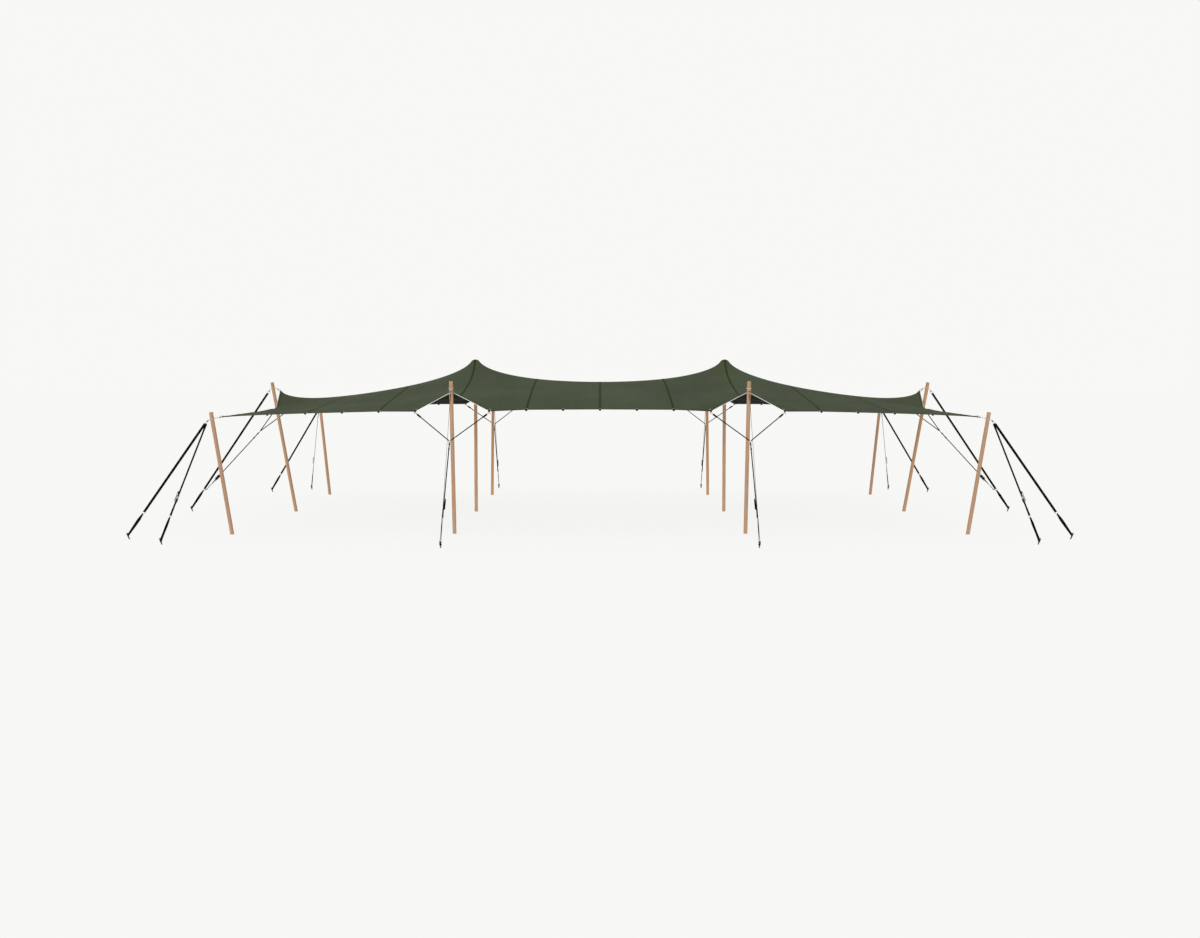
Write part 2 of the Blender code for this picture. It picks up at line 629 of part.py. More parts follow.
def build_rigging(webbing, rope, steel):
    """Guys, bridles and stakes of the four corners, four edge poles and two side poles."""
    corner = corner_guys()
    edge = edge_guy(Vector(EDGE_TIP), EDGE_FOOT, EDGE_TOP, EDGE_STAKE)
    side_set = edge_guy(Vector(SIDE_TIP), SIDE_FOOT, SIDE_TOP, SIDE_STAKE)
    edge_pulls = [Vector(EDGE_PULL) + Vector((d, 0.0, 0.0)) for d in (-EDGE_LOOP_STEP, EDGE_LOOP_STEP)]
    side_pulls = [Vector((SIDE_PULL[0], side * SIDE_PULL[1], SIDE_PULL[2])) for side in (-1, 1)]
    edge_bridle = bridle(edge_pulls, EDGE_FOOT, EDGE_TOP, EDGE_STAKE, EDGE_RATCHET_FRACTION, -1)
    side_bridle = bridle(side_pulls, SIDE_FOOT, SIDE_TOP, SIDE_STAKE, SIDE_RATCHET_FRACTION, 1)
    outer = stake_mesh(OUTER_STAKE, outward_from(CORNER_FOOT, OUTER_STAKE))
    inner = stake_mesh(INNER_STAKE, outward_from(CORNER_FOOT, INNER_STAKE))
    edge_stake = stake_mesh(EDGE_STAKE, outward_from(EDGE_FOOT, EDGE_STAKE))
    side_stake = stake_mesh(SIDE_STAKE, outward_from(SIDE_FOOT, SIDE_STAKE))
    for side, side_x in (("left", -1), ("right", 1)):
        for face, side_y in (("front", -1), ("back", 1)):
            place = f"{face}_{side}"
            add_object(f"corner_guys_{place}", mirrored(corner, side_x, side_y), webbing)
            add_object(f"edge_guy_{place}", mirrored(edge, side_x, side_y), webbing)
            add_object(f"edge_bridle_{place}", mirrored(edge_bridle, side_x, side_y), rope)
            add_object(f"corner_stake_outer_{place}", mirrored(outer, side_x, side_y), steel)
            add_object(f"corner_stake_inner_{place}", mirrored(inner, side_x, side_y), steel)
            add_object(f"edge_stake_{place}", mirrored(edge_stake, side_x, side_y), steel)
        add_object(f"side_guy_{side}", mirrored(side_set, side_x, 1), webbing)
        add_object(f"side_bridle_{side}", mirrored(side_bridle, side_x, 1), rope)
        add_object(f"side_stake_{side}", mirrored(side_stake, side_x, 1), steel)


def main():
    """Build the whole tent."""
    clear_scene()
    add_object("canopy", canopy_mesh(), finish("canopy_cloth", (0.072, 0.084, 0.051), 0.85))
    build_poles(finish("pole_timber", (0.47, 0.26, 0.15), 0.55))
    webbing = finish("guy_webbing", (0.012, 0.012, 0.013), 0.6)
    rope = finish("bridle_rope", (0.10, 0.10, 0.10), 0.8)
    build_rigging(webbing, rope, finish("stake_steel", (0.10, 0.10, 0.11), 0.45, 0.9))


main()
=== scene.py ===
"""Looks of a stretch tent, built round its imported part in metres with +Z up.

One tensioned olive sheet lies over two rubber pole heads and is drawn out by ropes, webbing guys,
rope bridles with ratchets, and steel stakes. The tent is symmetric left to right and front to back,
so each set of rigging is shaped once at +X and +Y and mirrored to its other places.
"""

from __future__ import annotations

import logging
import math
from collections.abc import Iterable, Sequence
from dataclasses import dataclass, field
from enum import Enum
from functools import cached_property

import bpy
import numpy as np
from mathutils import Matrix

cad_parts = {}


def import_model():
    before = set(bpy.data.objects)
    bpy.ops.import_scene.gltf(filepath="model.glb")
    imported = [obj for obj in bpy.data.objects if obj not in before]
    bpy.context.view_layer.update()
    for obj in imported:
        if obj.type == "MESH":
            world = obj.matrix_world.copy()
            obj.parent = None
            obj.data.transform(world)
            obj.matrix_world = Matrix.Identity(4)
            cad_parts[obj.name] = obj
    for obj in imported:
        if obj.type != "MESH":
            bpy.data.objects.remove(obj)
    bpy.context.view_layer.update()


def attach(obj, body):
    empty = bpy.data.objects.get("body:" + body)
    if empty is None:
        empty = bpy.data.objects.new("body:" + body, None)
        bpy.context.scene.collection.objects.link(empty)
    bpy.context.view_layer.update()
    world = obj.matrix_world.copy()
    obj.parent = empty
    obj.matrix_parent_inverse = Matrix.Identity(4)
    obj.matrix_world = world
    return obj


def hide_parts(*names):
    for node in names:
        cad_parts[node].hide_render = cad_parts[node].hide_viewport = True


LOG = logging.getLogger("stretch_tent")
BODY = "root"
UP = np.array([0.0, 0.0, 1.0])
SHARP_ANGLE = math.radians(38)
ROPE_LAY = 7
Array = np.ndarray
Node = bpy.types.Node
Socket = bpy.types.NodeSocket
Triple = tuple[float, float, float]
Colour = tuple[float, float, float, float]
Axes = tuple[Array, Array, Array]
Profile = Sequence[tuple[float, float]]


class Side(Enum):
    """A side of the tent, with the sign of its axis as its value."""

    @property
    def word(self) -> str:
        """The side's name as the nodes spell it."""
        return self.name.lower()


class Hand(Side):
    """Left or right of the tent."""

    LEFT = -1
    RIGHT = 1


class Face(Side):
    """Front or back of the tent."""

    FRONT = -1
    BACK = 1


class Trim(Enum):
    """Which finish a piece of rigging takes."""

    WEBBING = "webbing"
    ROPE = "rope"
    STEEL = "steel"
    FITTING = "fittings"


def unit(vector: Array) -> Array:
    """Vectors scaled to length one.

    Args:
        vector: one vector, or an array whose last axis holds them.

    Returns:
        The same directions with length one.
    """
    vector = np.asarray(vector, float)
    return vector / np.linalg.norm(vector, axis=-1, keepdims=True)


def point(*values: float) -> Array:
    """A point or vector from its numbers."""
    return np.array(values, float)


def set_point(*values: float) -> Array:
    """A point as the first value of a dataclass field."""
    return field(default_factory=lambda: point(*values))


def span(start: Array, end: Array) -> float:
    """The distance between two points."""
    return float(np.linalg.norm(end - start))


def line_frame(start: Array, end: Array) -> Axes:
    """Axes of a line: along it, level across it, and square to both on its upper side.

    Args:
        start: where the line begins.
        end: where it ends.

    Returns:
        The three unit vectors.
    """
    along = unit(end - start)
    across = unit(np.cross(along, UP))
    return along, across, np.cross(across, along)


def linear(red: float, green: float, blue: float) -> Colour:
    """A screen colour from 0 to 255 as the linear colour that a shader takes."""
    share = np.array([red, green, blue]) / 255.0
    value = np.where(share <= 0.04045, share / 12.92, ((share + 0.055) / 1.055) ** 2.4)
    return (*value.tolist(), 1.0)


@dataclass(frozen=True)
class Patch:
    """Faces with equally many corners, their surface coordinates in metres, and their material slot."""

    corners: Array
    uv: Array
    slot: int = 0

    def reversed(self) -> Patch:
        """The same faces seen from the other side."""
        return Patch(self.corners[:, ::-1], self.uv[:, ::-1], self.slot)


@dataclass(frozen=True)
class Shape:
    """Points and the patches of faces between them."""

    points: Array
    patches: tuple[Patch, ...]

    def mirrored(self, side_x: float, side_y: float = 1.0) -> Shape:
        """The shape on another side of the tent, its faces still outward."""
        return self.placed(np.zeros(3), np.diag([side_x, side_y, 1.0]))

    def grounded(self, axis: Array, sides: int) -> Shape:
        """A round shape whose first row and first end's middle are slid along its axis to the ground."""
        points = self.points.copy()
        ground = np.r_[0:sides, len(points) - 2]
        points[ground] -= axis * (points[ground][:, 2:] / axis[2])
        return Shape(points, self.patches)

    def placed(self, origin: Array, axes: Array | Sequence[Array]) -> Shape:
        """Carry a shape from its own axes to a place.

        Each point becomes origin + x * first axis + y * second axis + z * third axis, and the
        faces are reversed where those axes are left-handed.

        Args:
            origin: where the shape's own origin goes.
            axes: its three axes, one a row.

        Returns:
            The placed shape.
        """
        axes = np.asarray(axes, float)
        turned = np.linalg.det(axes) < 0
        patches = tuple(p.reversed() if turned else p for p in self.patches)
        return Shape(self.points @ axes + origin, patches)

    def parted(self, chosen: Array) -> Shape:
        """The same shape with the chosen faces of its first patch in slot 1."""
        skin, rest = self.patches[0], self.patches[1:]
        kept = Patch(skin.corners[~chosen], skin.uv[~chosen], skin.slot)
        return Shape(self.points, (kept, Patch(skin.corners[chosen], skin.uv[chosen], 1)) + rest)

    @staticmethod
    def joined(shapes: Iterable[Shape]) -> Shape:
        """Several shapes as one, their points one after the other."""
        shapes = list(shapes)
        starts = np.cumsum([0] + [len(s.points) for s in shapes[:-1]])
        patches = [Patch(p.corners + k, p.uv, p.slot) for s, k in zip(shapes, starts) for p in s.patches]
        return Shape(np.concatenate([s.points for s in shapes]), tuple(patches))

    def mesh(self, name: str) -> bpy.types.Mesh:
        """Make the Blender mesh, smooth but for its sharp edges.

        Args:
            name: the mesh's name.

        Returns:
            The mesh with its surface coordinates and material slots.
        """
        mesh = bpy.data.meshes.new(name)
        faces = sum((p.corners.tolist() for p in self.patches), [])
        mesh.from_pydata(self.points.tolist(), [], faces)
        layer = mesh.uv_layers.new(name="Surface")
        layer.data.foreach_set("uv", np.concatenate([p.uv.ravel() for p in self.patches]))
        slots = np.concatenate([np.full(len(p.corners), p.slot) for p in self.patches])
        mesh.polygons.foreach_set("material_index", slots)
        mesh.polygons.foreach_set("use_smooth", np.ones(len(slots), bool))
        mesh.set_sharp_from_angle(angle=SHARP_ANGLE)
        return mesh


def faced(values: Array) -> Array:
    """The four corners of every cell of a grid, in turn round the cell."""
    return np.stack([values[:-1, :-1], values[1:, :-1], values[1:, 1:], values[:-1, 1:]], axis=2)


def grid(
    points: Array, u: Array, v: Array, wrap_u: bool = False, wrap_v: bool = False, slot: int = 0
) -> Shape:
    """A surface of two parameters as quads, facing along (step in u) x (step in v).

    Args:
        points: places with shape (rows, columns, 3).
        u: the first surface coordinate of each row, and of the return to the first if it wraps.
        v: the same for the columns.
        wrap_u: whether the last row joins the first.
        wrap_v: whether the last column joins the first.
        slot: the material slot.

    Returns:
        The surface.
    """
    rows, columns = points.shape[:2]
    index = np.arange(rows * columns).reshape(rows, columns)
    index = np.vstack([index, index[:1]]) if wrap_u else index
    index = np.hstack([index, index[:, :1]]) if wrap_v else index
    uv = np.stack(np.meshgrid(u, v, indexing="ij"), axis=-1)
    patch = Patch(faced(index).reshape(-1, 4), faced(uv).reshape(-1, 4, 2), slot)
    return Shape(points.reshape(-1, 3), (patch,))


def run_of(points: Array, closed: bool) -> Array:
    """Distance along a line of points from its first, with the way back to it if it is closed."""
    line = np.vstack([points, points[:1]]) if closed else points
    steps = np.linalg.norm(np.diff(line, axis=0), axis=1)
    return np.concatenate([[0.0], np.cumsum(steps)])


def hose(rows: Array, closed: bool = False, slot: int = 0, cap_slot: int | None = None) -> Shape:
    """A closed skin over rows of points that each go once round, with flat ends where it is open.

    Args:
        rows: places with shape (rows, points round, 3).
        closed: whether the last row joins the first.
        slot: the material slot of the skin.
        cap_slot: that of the ends, if another.

    Returns:
        The skin with its two ends.
    """
    count, around = rows.shape[:2]
    u = run_of(rows.mean(axis=1), closed)
    v = run_of(rows[count // 2], True)
    skin = grid(rows, u, v, wrap_u=closed, wrap_v=True, slot=slot)
    if closed:
        return skin
    centres = rows[[0, -1]].mean(axis=1)
    ring = np.arange(around)
    after = np.roll(ring, -1)
    last = (count - 1) * around
    first_end = np.stack([np.full(around, count * around), ring, after], axis=1)
    last_end = np.stack([np.full(around, count * around + 1), last + after, last + ring], axis=1)
    angle = 2 * np.pi * np.stack([ring, ring + 1], axis=1) / around
    reach = np.linalg.norm(rows[-1] - centres[1], axis=1).mean()
    rim = np.stack([np.cos(angle), np.sin(angle)], axis=-1) * reach
    flat = np.concatenate([np.zeros((around, 1, 2)), rim], axis=1)
    slot = slot if cap_slot is None else cap_slot
    ends = (Patch(first_end, flat, slot), Patch(last_end, flat[:, [0, 2, 1]], slot))
    return Shape(np.vstack([skin.points, centres]), skin.patches + ends)


def carried(
    path: Array,
    outline: Array,
    lean: Array,
    closed: bool = False,
    scale: float | Array = 1.0,
    turn: float | Array = 0.0,
    tangent: Array | None = None,
    slot: int = 0,
    cap_slot: int | None = None,
) -> Shape:
    """An outline carried along a path.

    Point = path + across * (a cos turn - b sin turn) + upward * (a sin turn + b cos turn), where
    across = tangent x lean, upward = across x tangent, and (a, b) is the outline times the scale.

    Args:
        path: the points that the outline's middle follows.
        outline: its own points, anticlockwise, as (across, upward) pairs.
        lean: the direction that upward leans to, one for all or one a point.
        closed: whether the path returns to its start.
        scale: the outline's size at each point, as one number, one a point or one a side.
        turn: the angle that it has turned by at each point.
        tangent: the path's direction, where its points don't give it.
        slot: the material slot.
        cap_slot: that of the ends, if another.

    Returns:
        The skin.
    """
    path = np.asarray(path, float)
    count = len(path)
    if tangent is None:
        inner = np.gradient(path, axis=0)
        tangent = np.roll(path, -1, 0) - np.roll(path, 1, 0) if closed else inner
    tangent = unit(np.broadcast_to(tangent, path.shape))
    across = unit(np.cross(tangent, lean))
    upward = np.cross(across, tangent)
    size = np.asarray(scale, float)
    size = np.broadcast_to(size.reshape(-1, 1) if size.ndim < 2 else size, (count, 2))
    a = outline[None, :, 0] * size[:, :1]
    b = outline[None, :, 1] * size[:, 1:]
    angle = np.broadcast_to(turn, count)[:, None]
    x = a * np.cos(angle) - b * np.sin(angle)
    y = a * np.sin(angle) + b * np.cos(angle)
    rows = path[:, None] + across[:, None] * x[..., None] + upward[:, None] * y[..., None]
    return hose(rows, closed, slot, cap_slot)


def round_angles(count: int) -> Array:
    """Angles evenly round a circle, from zero."""
    return np.arange(count) * 2 * np.pi / count


def round_outline(radius: float, count: int) -> Array:
    """A circle of that radius as anticlockwise points."""
    angle = round_angles(count)
    return np.stack([np.cos(angle), np.sin(angle)], axis=1) * radius


def band_outline(thick: float, wide: float) -> Array:
    """A flat band's section with rounded edges: thick across, wide upward."""
    x, y = thick / 2, wide / 2
    soft = thick * 0.35
    corners = [(x, -y + soft), (x, 0.0), (x, y - soft), (x - soft, y), (-x + soft, y)]
    return np.array(corners + [(-a, -b) for a, b in corners])


def strand_outline(radius: float, count: int = 15) -> Array:
    """A three-strand rope's section: radius (0.80 + 0.20 |cos 1.5 angle|^0.6) all round."""
    reach = 0.80 + 0.20 * np.abs(np.cos(1.5 * round_angles(count))) ** 0.6
    return round_outline(radius, count) * reach[:, None]


def rope(path: Array, radius: float, closed: bool = False, lean: Array = UP) -> Shape:
    """A laid rope along a path: its three-lobed section turns once in seven radii.

    Args:
        path: the rope's middle line.
        radius: half its thickness.
        closed: whether it returns to its start.
        lean: a direction that the rope nowhere runs along.

    Returns:
        The rope.
    """
    run = run_of(path, closed)
    count = max(int(run[-1] / (radius * 0.6)), 8)
    if closed:
        count = -(-count // 12) * 12
    places = np.linspace(0.0, run[-1], count + 1)[: count + (0 if closed else 1)]
    line = np.vstack([path, path[:1]]) if closed else path
    fine = np.stack([np.interp(places, run, line[:, k]) for k in range(3)], axis=1)
    turns = round(run[-1] / (ROPE_LAY * radius)) or 1
    turn = 2 * np.pi * turns * places / run[-1]
    return carried(fine, strand_outline(radius), lean, closed, turn=turn)


def circle(centre: Array, first: Array, second: Array, radius: float, count: int = 32) -> Array:
    """Points of a circle in the plane of two square directions."""
    return centre + round_outline(radius, count) @ np.stack([first, second])


def steel_ring(
    centre: Array, first: Array, second: Array, radius: float, wire: float, count: int = 32
) -> Shape:
    """A welded ring of round wire in the plane of two square directions."""
    second = unit(second - first * np.dot(first, second))
    path = circle(centre, first, second, radius, count)
    return carried(path, round_outline(wire, 10), np.cross(first, second), closed=True)


def turned(foot: Array, axis: Array, profile: Profile, sides: int, slot: int = 0) -> Shape:
    """A round piece about an axis.

    Args:
        foot: where the axis starts.
        axis: its direction.
        profile: pairs of distance along the axis and radius.
        sides: how many faces go round.
        slot: the material slot.

    Returns:
        The piece with flat ends.
    """
    axis = unit(axis)
    distance, radius = np.array(profile).T
    side = unit(np.cross(axis, point(0.31, 0.95, 0.05)))
    path = foot + distance[:, None] * axis
    return carried(path, round_outline(1.0, sides), side, scale=radius, tangent=axis, slot=slot)


def rounded_block(size: Triple, soft: float, slot: int = 0) -> Shape:
    """A block with rounded edges about its own middle: long in x, wide in y, tall in z."""
    long, wide, tall = size
    angle = round_angles(16) + np.pi / 16
    a = np.sign(np.cos(angle)) * (tall / 2 - soft) + np.cos(angle) * soft
    b = np.sign(np.sin(angle)) * (wide / 2 - soft) + np.sin(angle) * soft
    steps = np.array([0.0, 0.3, 1.0]) * soft
    inset = soft - np.sqrt(soft**2 - (soft - steps) ** 2)
    shrink = np.concatenate([inset, inset[::-1]])
    scale = np.stack([1 - 2 * shrink / tall, 1 - 2 * shrink / wide], axis=1)
    x = np.concatenate([-long / 2 + steps, (long / 2 - steps)[::-1]])
    path = x[:, None] * point(1, 0, 0)
    outline = np.stack([a, b], axis=1)
    return carried(path, outline, point(0, 1, 0), scale=scale, tangent=point(1, 0, 0), slot=slot)


@dataclass
class Wiring:
    """Nodes and links of one tree, added in few words."""

    tree: bpy.types.NodeTree

    def node(self, kind: str, values: dict[str | int, object] | None = None, **settings: object) -> Node:
        """Add a node.

        Args:
            kind: its type without the ShaderNode prefix.
            values: its inputs by name or place, as numbers or as sockets to link from.
            settings: its own properties.

        Returns:
            The node.
        """
        made = self.tree.nodes.new(kind if kind.startswith("NodeGroup") else "ShaderNode" + kind)
        for name, value in settings.items():
            setattr(made, name, value)
        for name, value in (values or {}).items():
            self.feed(made.inputs[name], value)
        return made

    def feed(self, socket: Socket, value: object) -> None:
        """Set an input to a number or colour, or link it from a socket."""
        if isinstance(value, Socket):
            self.tree.links.new(value, socket)
        else:
            socket.default_value = value

    def maths(self, operation: str, *values: float | Socket, clamp: bool = False) -> Socket:
        """One Math node's result."""
        return self.node("Math", dict(enumerate(values)), operation=operation, use_clamp=clamp).outputs[0]

    def times(self, first: float | Socket, second: float | Socket) -> Socket:
        """Two values multiplied."""
        return self.maths("MULTIPLY", first, second)

    def paint(self, values: dict[str, object]) -> None:
        """Feed the Principled shader of a material's tree, by its inputs' names."""
        for name, value in values.items():
            self.feed(self.tree.nodes["Principled BSDF"].inputs[name], value)

    def parts(self, vector: Socket) -> tuple[Socket, ...]:
        """A vector's three numbers."""
        return tuple(self.node("SeparateXYZ", {0: vector}).outputs)

    def spread(self, value: Socket, low: float, high: float, to: tuple[float, float] = (0.0, 1.0)) -> Socket:
        """A value carried from one range to another, held at its ends."""
        return self.node("MapRange", {0: value, 1: low, 2: high, 3: to[0], 4: to[1]}).outputs[0]

    def mix(self, share: float | Socket, first: object, second: object) -> Socket:
        """A colour between two others."""
        return self.node("Mix", {0: share, 6: first, 7: second}, data_type="RGBA").outputs[2]

    def tinted(self, colour: object, mask: Socket, share: float | Socket, over: object) -> Socket:
        """A colour with another laid over it, by a mask times a share."""
        return self.mix(self.times(mask, share), colour, over)

    def noise(self, vector: Socket, scale: float, detail: float = 3.0) -> Socket:
        """The grey value of a noise texture."""
        return self.node("TexNoise", {"Vector": vector, "Scale": scale, "Detail": detail}).outputs[0]

    def drawn(self, vector: Socket, stretch: Triple) -> Socket:
        """Coordinates with a scale of their own on each axis."""
        return self.node("Mapping", {"Vector": vector, "Scale": stretch}).outputs[0]

    def mask(self, vector: Socket, scale: float, detail: float, low: float, high: float) -> Socket:
        """Noise whose values from low to high are carried to 0 to 1."""
        return self.spread(self.noise(vector, scale, detail), low, high)


@dataclass(frozen=True)
class Effect:
    """A shader node group with named inputs and outputs, made once and shared by materials."""

    name: str
    inputs: tuple[tuple[str, float | None], ...]
    outputs: tuple[str, ...]

    def start(self) -> tuple[Wiring, dict[str, Socket], Node]:
        """Make the group's tree with its sockets.

        Returns:
            The wiring, the input sockets by name, and the output node.
        """
        tree = bpy.data.node_groups.new(self.name, "ShaderNodeTree")
        for name, value in self.inputs:
            kind = "NodeSocketVector" if value is None else "NodeSocketFloat"
            socket = tree.interface.new_socket(name, in_out="INPUT", socket_type=kind)
            if value is not None:
                socket.default_value = value
        for name in self.outputs:
            tree.interface.new_socket(name, in_out="OUTPUT", socket_type="NodeSocketFloat")
        wiring = Wiring(tree)
        entry = wiring.node("NodeGroupInput")
        return wiring, {s.name: s for s in entry.outputs if s.name}, wiring.node("NodeGroupOutput")

    def use(self, wiring: Wiring, vector: Socket, **values: float) -> tuple[Socket, ...]:
        """Place the group in a material, its inputs named in lower case, and give its outputs."""
        made = wiring.node("Group")
        made.node_tree = bpy.data.node_groups[self.name]
        for name, value in {"vector": vector, **values}.items():
            wiring.feed(made.inputs[name.title()], value)
        return tuple(made.outputs)


WOVEN = Effect("woven_threads", (("Vector", None), ("Threads", 900.0)), ("Height",))
MOTTLED = Effect("mottled_patches", (("Vector", None), ("Scale", 1.0)), ("Patches", "Specks"))
STITCHED = Effect("stitched_rows", (("Vector", None), ("Spacing", 0.03), ("Dash", 0.006)), ("Mask",))
DUSTED = Effect("ground_dust", (("Vector", None), ("Height", 0.3)), ("Mask",))
LAID = Effect("laid_yarns", (("Vector", None), ("Yarns", 260.0)), ("Height",))


def make_effects() -> None:
    """Make the shared node groups.

    Woven threads: height = |sin(u)| where the whole numbers of u and v add up even, else |sin(v)|.
    Mottled patches: soft noise at one scale and fine noise at thirty times it.
    Stitched rows: 1 in a dash of a row, where v is near a multiple of the spacing.
    Ground dust: falls from 1 at the ground to 0 at the height, broken up by noise.
    Laid yarns: |sin| of a slanting sum of u and v.
    """
    wiring, ins, end = WOVEN.start()
    u, v = (wiring.times(part, ins["Threads"]) for part in wiring.parts(ins["Vector"])[:2])
    whole = wiring.maths("ADD", wiring.maths("FLOOR", u), wiring.maths("FLOOR", v))
    odd = wiring.maths("ABSOLUTE", wiring.maths("MODULO", whole, 2.0))
    crests = [wiring.maths("ABSOLUTE", wiring.maths("SINE", wiring.times(x, math.pi))) for x in (u, v)]
    under = wiring.times(crests[0], wiring.maths("SUBTRACT", 1.0, odd))
    wiring.feed(end.inputs["Height"], wiring.maths("ADD", under, wiring.times(crests[1], odd)))

    wiring, ins, end = MOTTLED.start()
    for name, factor, detail in (("Patches", 1.0, 4.0), ("Specks", 30.0, 2.0)):
        patches = wiring.mask(ins["Vector"], wiring.times(ins["Scale"], factor), detail, 0.3, 0.7)
        wiring.feed(end.inputs[name], patches)

    wiring, ins, end = STITCHED.start()
    u, v, _ = wiring.parts(ins["Vector"])
    row = wiring.maths("PINGPONG", v, wiring.times(ins["Spacing"], 0.5))
    near = wiring.maths("LESS_THAN", row, 0.0011)
    dash = wiring.maths("FRACT", wiring.maths("DIVIDE", u, ins["Dash"]))
    wiring.feed(end.inputs["Mask"], wiring.times(near, wiring.maths("LESS_THAN", dash, 0.68)))

    wiring, ins, end = DUSTED.start()
    fall = wiring.maths("DIVIDE", wiring.parts(ins["Vector"])[2], ins["Height"])
    low = wiring.maths("SUBTRACT", 1.0, fall, clamp=True)
    broken = wiring.mask(ins["Vector"], 38.0, 5.0, 0.35, 0.65)
    wiring.feed(end.inputs["Mask"], wiring.times(wiring.maths("POWER", low, 2.0), broken))

    wiring, ins, end = LAID.start()
    u, v, _ = wiring.parts(ins["Vector"])
    slant = wiring.maths("MULTIPLY_ADD", u, 0.7, v)
    wave = wiring.maths("SINE", wiring.times(slant, wiring.times(ins["Yarns"], math.tau)))
    wiring.feed(end.inputs["Height"], wiring.maths("ABSOLUTE", wave))


def new_material(name: str) -> tuple[bpy.types.Material, Wiring]:
    """A material and the wiring of its tree."""
    material = bpy.data.materials.new(name)
    material.use_nodes = True
    return material, Wiring(material.node_tree)


@dataclass(frozen=True)
class Coat:
    """What a finish feeds to its shader. Its height is raised by the depth in metres."""

    colour: Socket
    roughness: Socket
    height: Socket
    depth: float
    strength: float


def dusted(
    wiring: Wiring, place: Socket, colour: Socket, height: float, share: float, earth: Colour
) -> Socket:
    """A colour with earth over it up to a height above the ground."""
    return wiring.tinted(colour, DUSTED.use(wiring, place, height=height)[0], share, earth)


@dataclass(frozen=True)
class Finish:
    """What every finish has: a name, a colour, a roughness, how much metal it is, and its gloss."""

    name: str
    colour: Triple
    roughness: float = 0.7
    metallic: float = 0.0
    gloss: float = 0.5

    def shade(self, factor: float = 1.0, lift: float = 0.0) -> Colour:
        """The finish's screen colour times a factor and lifted, as a linear colour."""
        return linear(*(min(c * factor + lift, 255) for c in self.colour))

    def rough(self, wiring: Wiring, grain: Socket, low: float, high: float) -> Socket:
        """The finish's roughness, changed by low where the grain is 0 and by high where it is 1."""
        return wiring.spread(grain, 0.0, 1.0, (self.roughness + low, self.roughness + high))

    def coat(self, wiring: Wiring, place: Socket, surface: Socket) -> Coat:
        """Wire what is the finish's own.

        Args:
            wiring: the material's.
            place: coordinates on the object.
            surface: coordinates on its surface, in metres.

        Returns:
            What the shader takes.
        """
        raise NotImplementedError

    @cached_property
    def material(self) -> bpy.types.Material:
        """The material, made once from the finish's coat."""
        material, wiring = new_material(self.name)
        place = wiring.node("TexCoord").outputs["Object"]
        coat = self.coat(wiring, place, wiring.node("UVMap", uv_map="Surface").outputs[0])
        relief = {"Height": coat.height, "Distance": coat.depth, "Strength": coat.strength}
        wiring.paint({
            "Metallic": self.metallic,
            "Specular IOR Level": self.gloss,
            "Base Color": coat.colour,
            "Roughness": coat.roughness,
            "Normal": wiring.node("Bump", relief).outputs[0],
        })
        return material


@dataclass(frozen=True)
class ClothFinish(Finish):
    """Coated stretch cloth, with rows of stitches where they are asked for."""

    stitches: float = 0.0
    threads: float = 420.0

    def coat(self, wiring: Wiring, place: Socket, surface: Socket) -> Coat:
        """Cloth: its colour drifts over metres, streaks run down it, and the knit is raised."""
        patches, specks = MOTTLED.use(wiring, place, scale=0.55)
        weave = WOVEN.use(wiring, surface, threads=self.threads)[0]
        streaks = wiring.mask(wiring.drawn(place, (5.0, 0.5, 0.9)), 1.4, 5.0, 0.42, 0.72)
        colour = wiring.mix(patches, self.shade(0.93), self.shade(1.07, 2))
        colour = wiring.tinted(colour, streaks, 0.22, self.shade(1.12, 4))
        colour = wiring.tinted(colour, weave, 0.18, self.shade())
        height = wiring.maths("ADD", weave, wiring.times(specks, 0.6))
        if self.stitches:
            rows = STITCHED.use(wiring, surface, spacing=self.stitches)[0]
            colour = wiring.tinted(colour, rows, 0.7, self.shade(0.55))
            height = wiring.maths("MULTIPLY_ADD", rows, -2.0, height)
        return Coat(colour, self.rough(wiring, specks, -0.06, 0.06), height, 0.0005, 0.6)


@dataclass(frozen=True)
class TimberFinish(Finish):
    """Oiled round pine with grain along the pole, knots, and earth on its foot."""

    end_grain: bool = False

    def coat(self, wiring: Wiring, place: Socket, surface: Socket) -> Coat:
        """Timber: long noise for the grain, stretched cells for the knots, rings on an end."""
        if self.end_grain:
            far = wiring.node("VectorMath", {0: surface}, operation="LENGTH").outputs["Value"]
            wobble = wiring.maths("MULTIPLY_ADD", wiring.noise(place, 40.0), 0.004, far)
            grain = wiring.spread(wiring.maths("SINE", wiring.times(wobble, 1500.0)), -1.0, 1.0)
        else:
            fine = wiring.mask(wiring.drawn(surface, (2.2, 110.0, 1.0)), 1.0, 6.0, 0.32, 0.68)
            coarse = wiring.mask(wiring.drawn(surface, (0.9, 24.0, 1.0)), 1.0, 4.0, 0.3, 0.7)
            grain = wiring.maths("MULTIPLY_ADD", fine, 0.55, wiring.times(coarse, 0.45))
        colour = wiring.mix(grain, self.shade(0.80), self.shade(1.12))
        colour = wiring.mix(0.25, colour, self.shade())
        knot_place = wiring.drawn(surface, (2.6, 11.0, 1.0))
        cells = wiring.node("TexVoronoi", {"Vector": knot_place, "Scale": 1.0, "Randomness": 1.0})
        knots = wiring.spread(cells.outputs["Distance"], 0.04, 0.10, (1.0, 0.0))
        colour = wiring.tinted(colour, knots, 0.0 if self.end_grain else 0.75, linear(92, 58, 38))
        colour = dusted(wiring, place, colour, 0.35, 0.45, linear(150, 128, 104))
        height = wiring.maths("MULTIPLY_ADD", knots, -0.8, grain)
        return Coat(colour, self.rough(wiring, grain, 0.1, 0.0), height, 0.0009, 0.7)


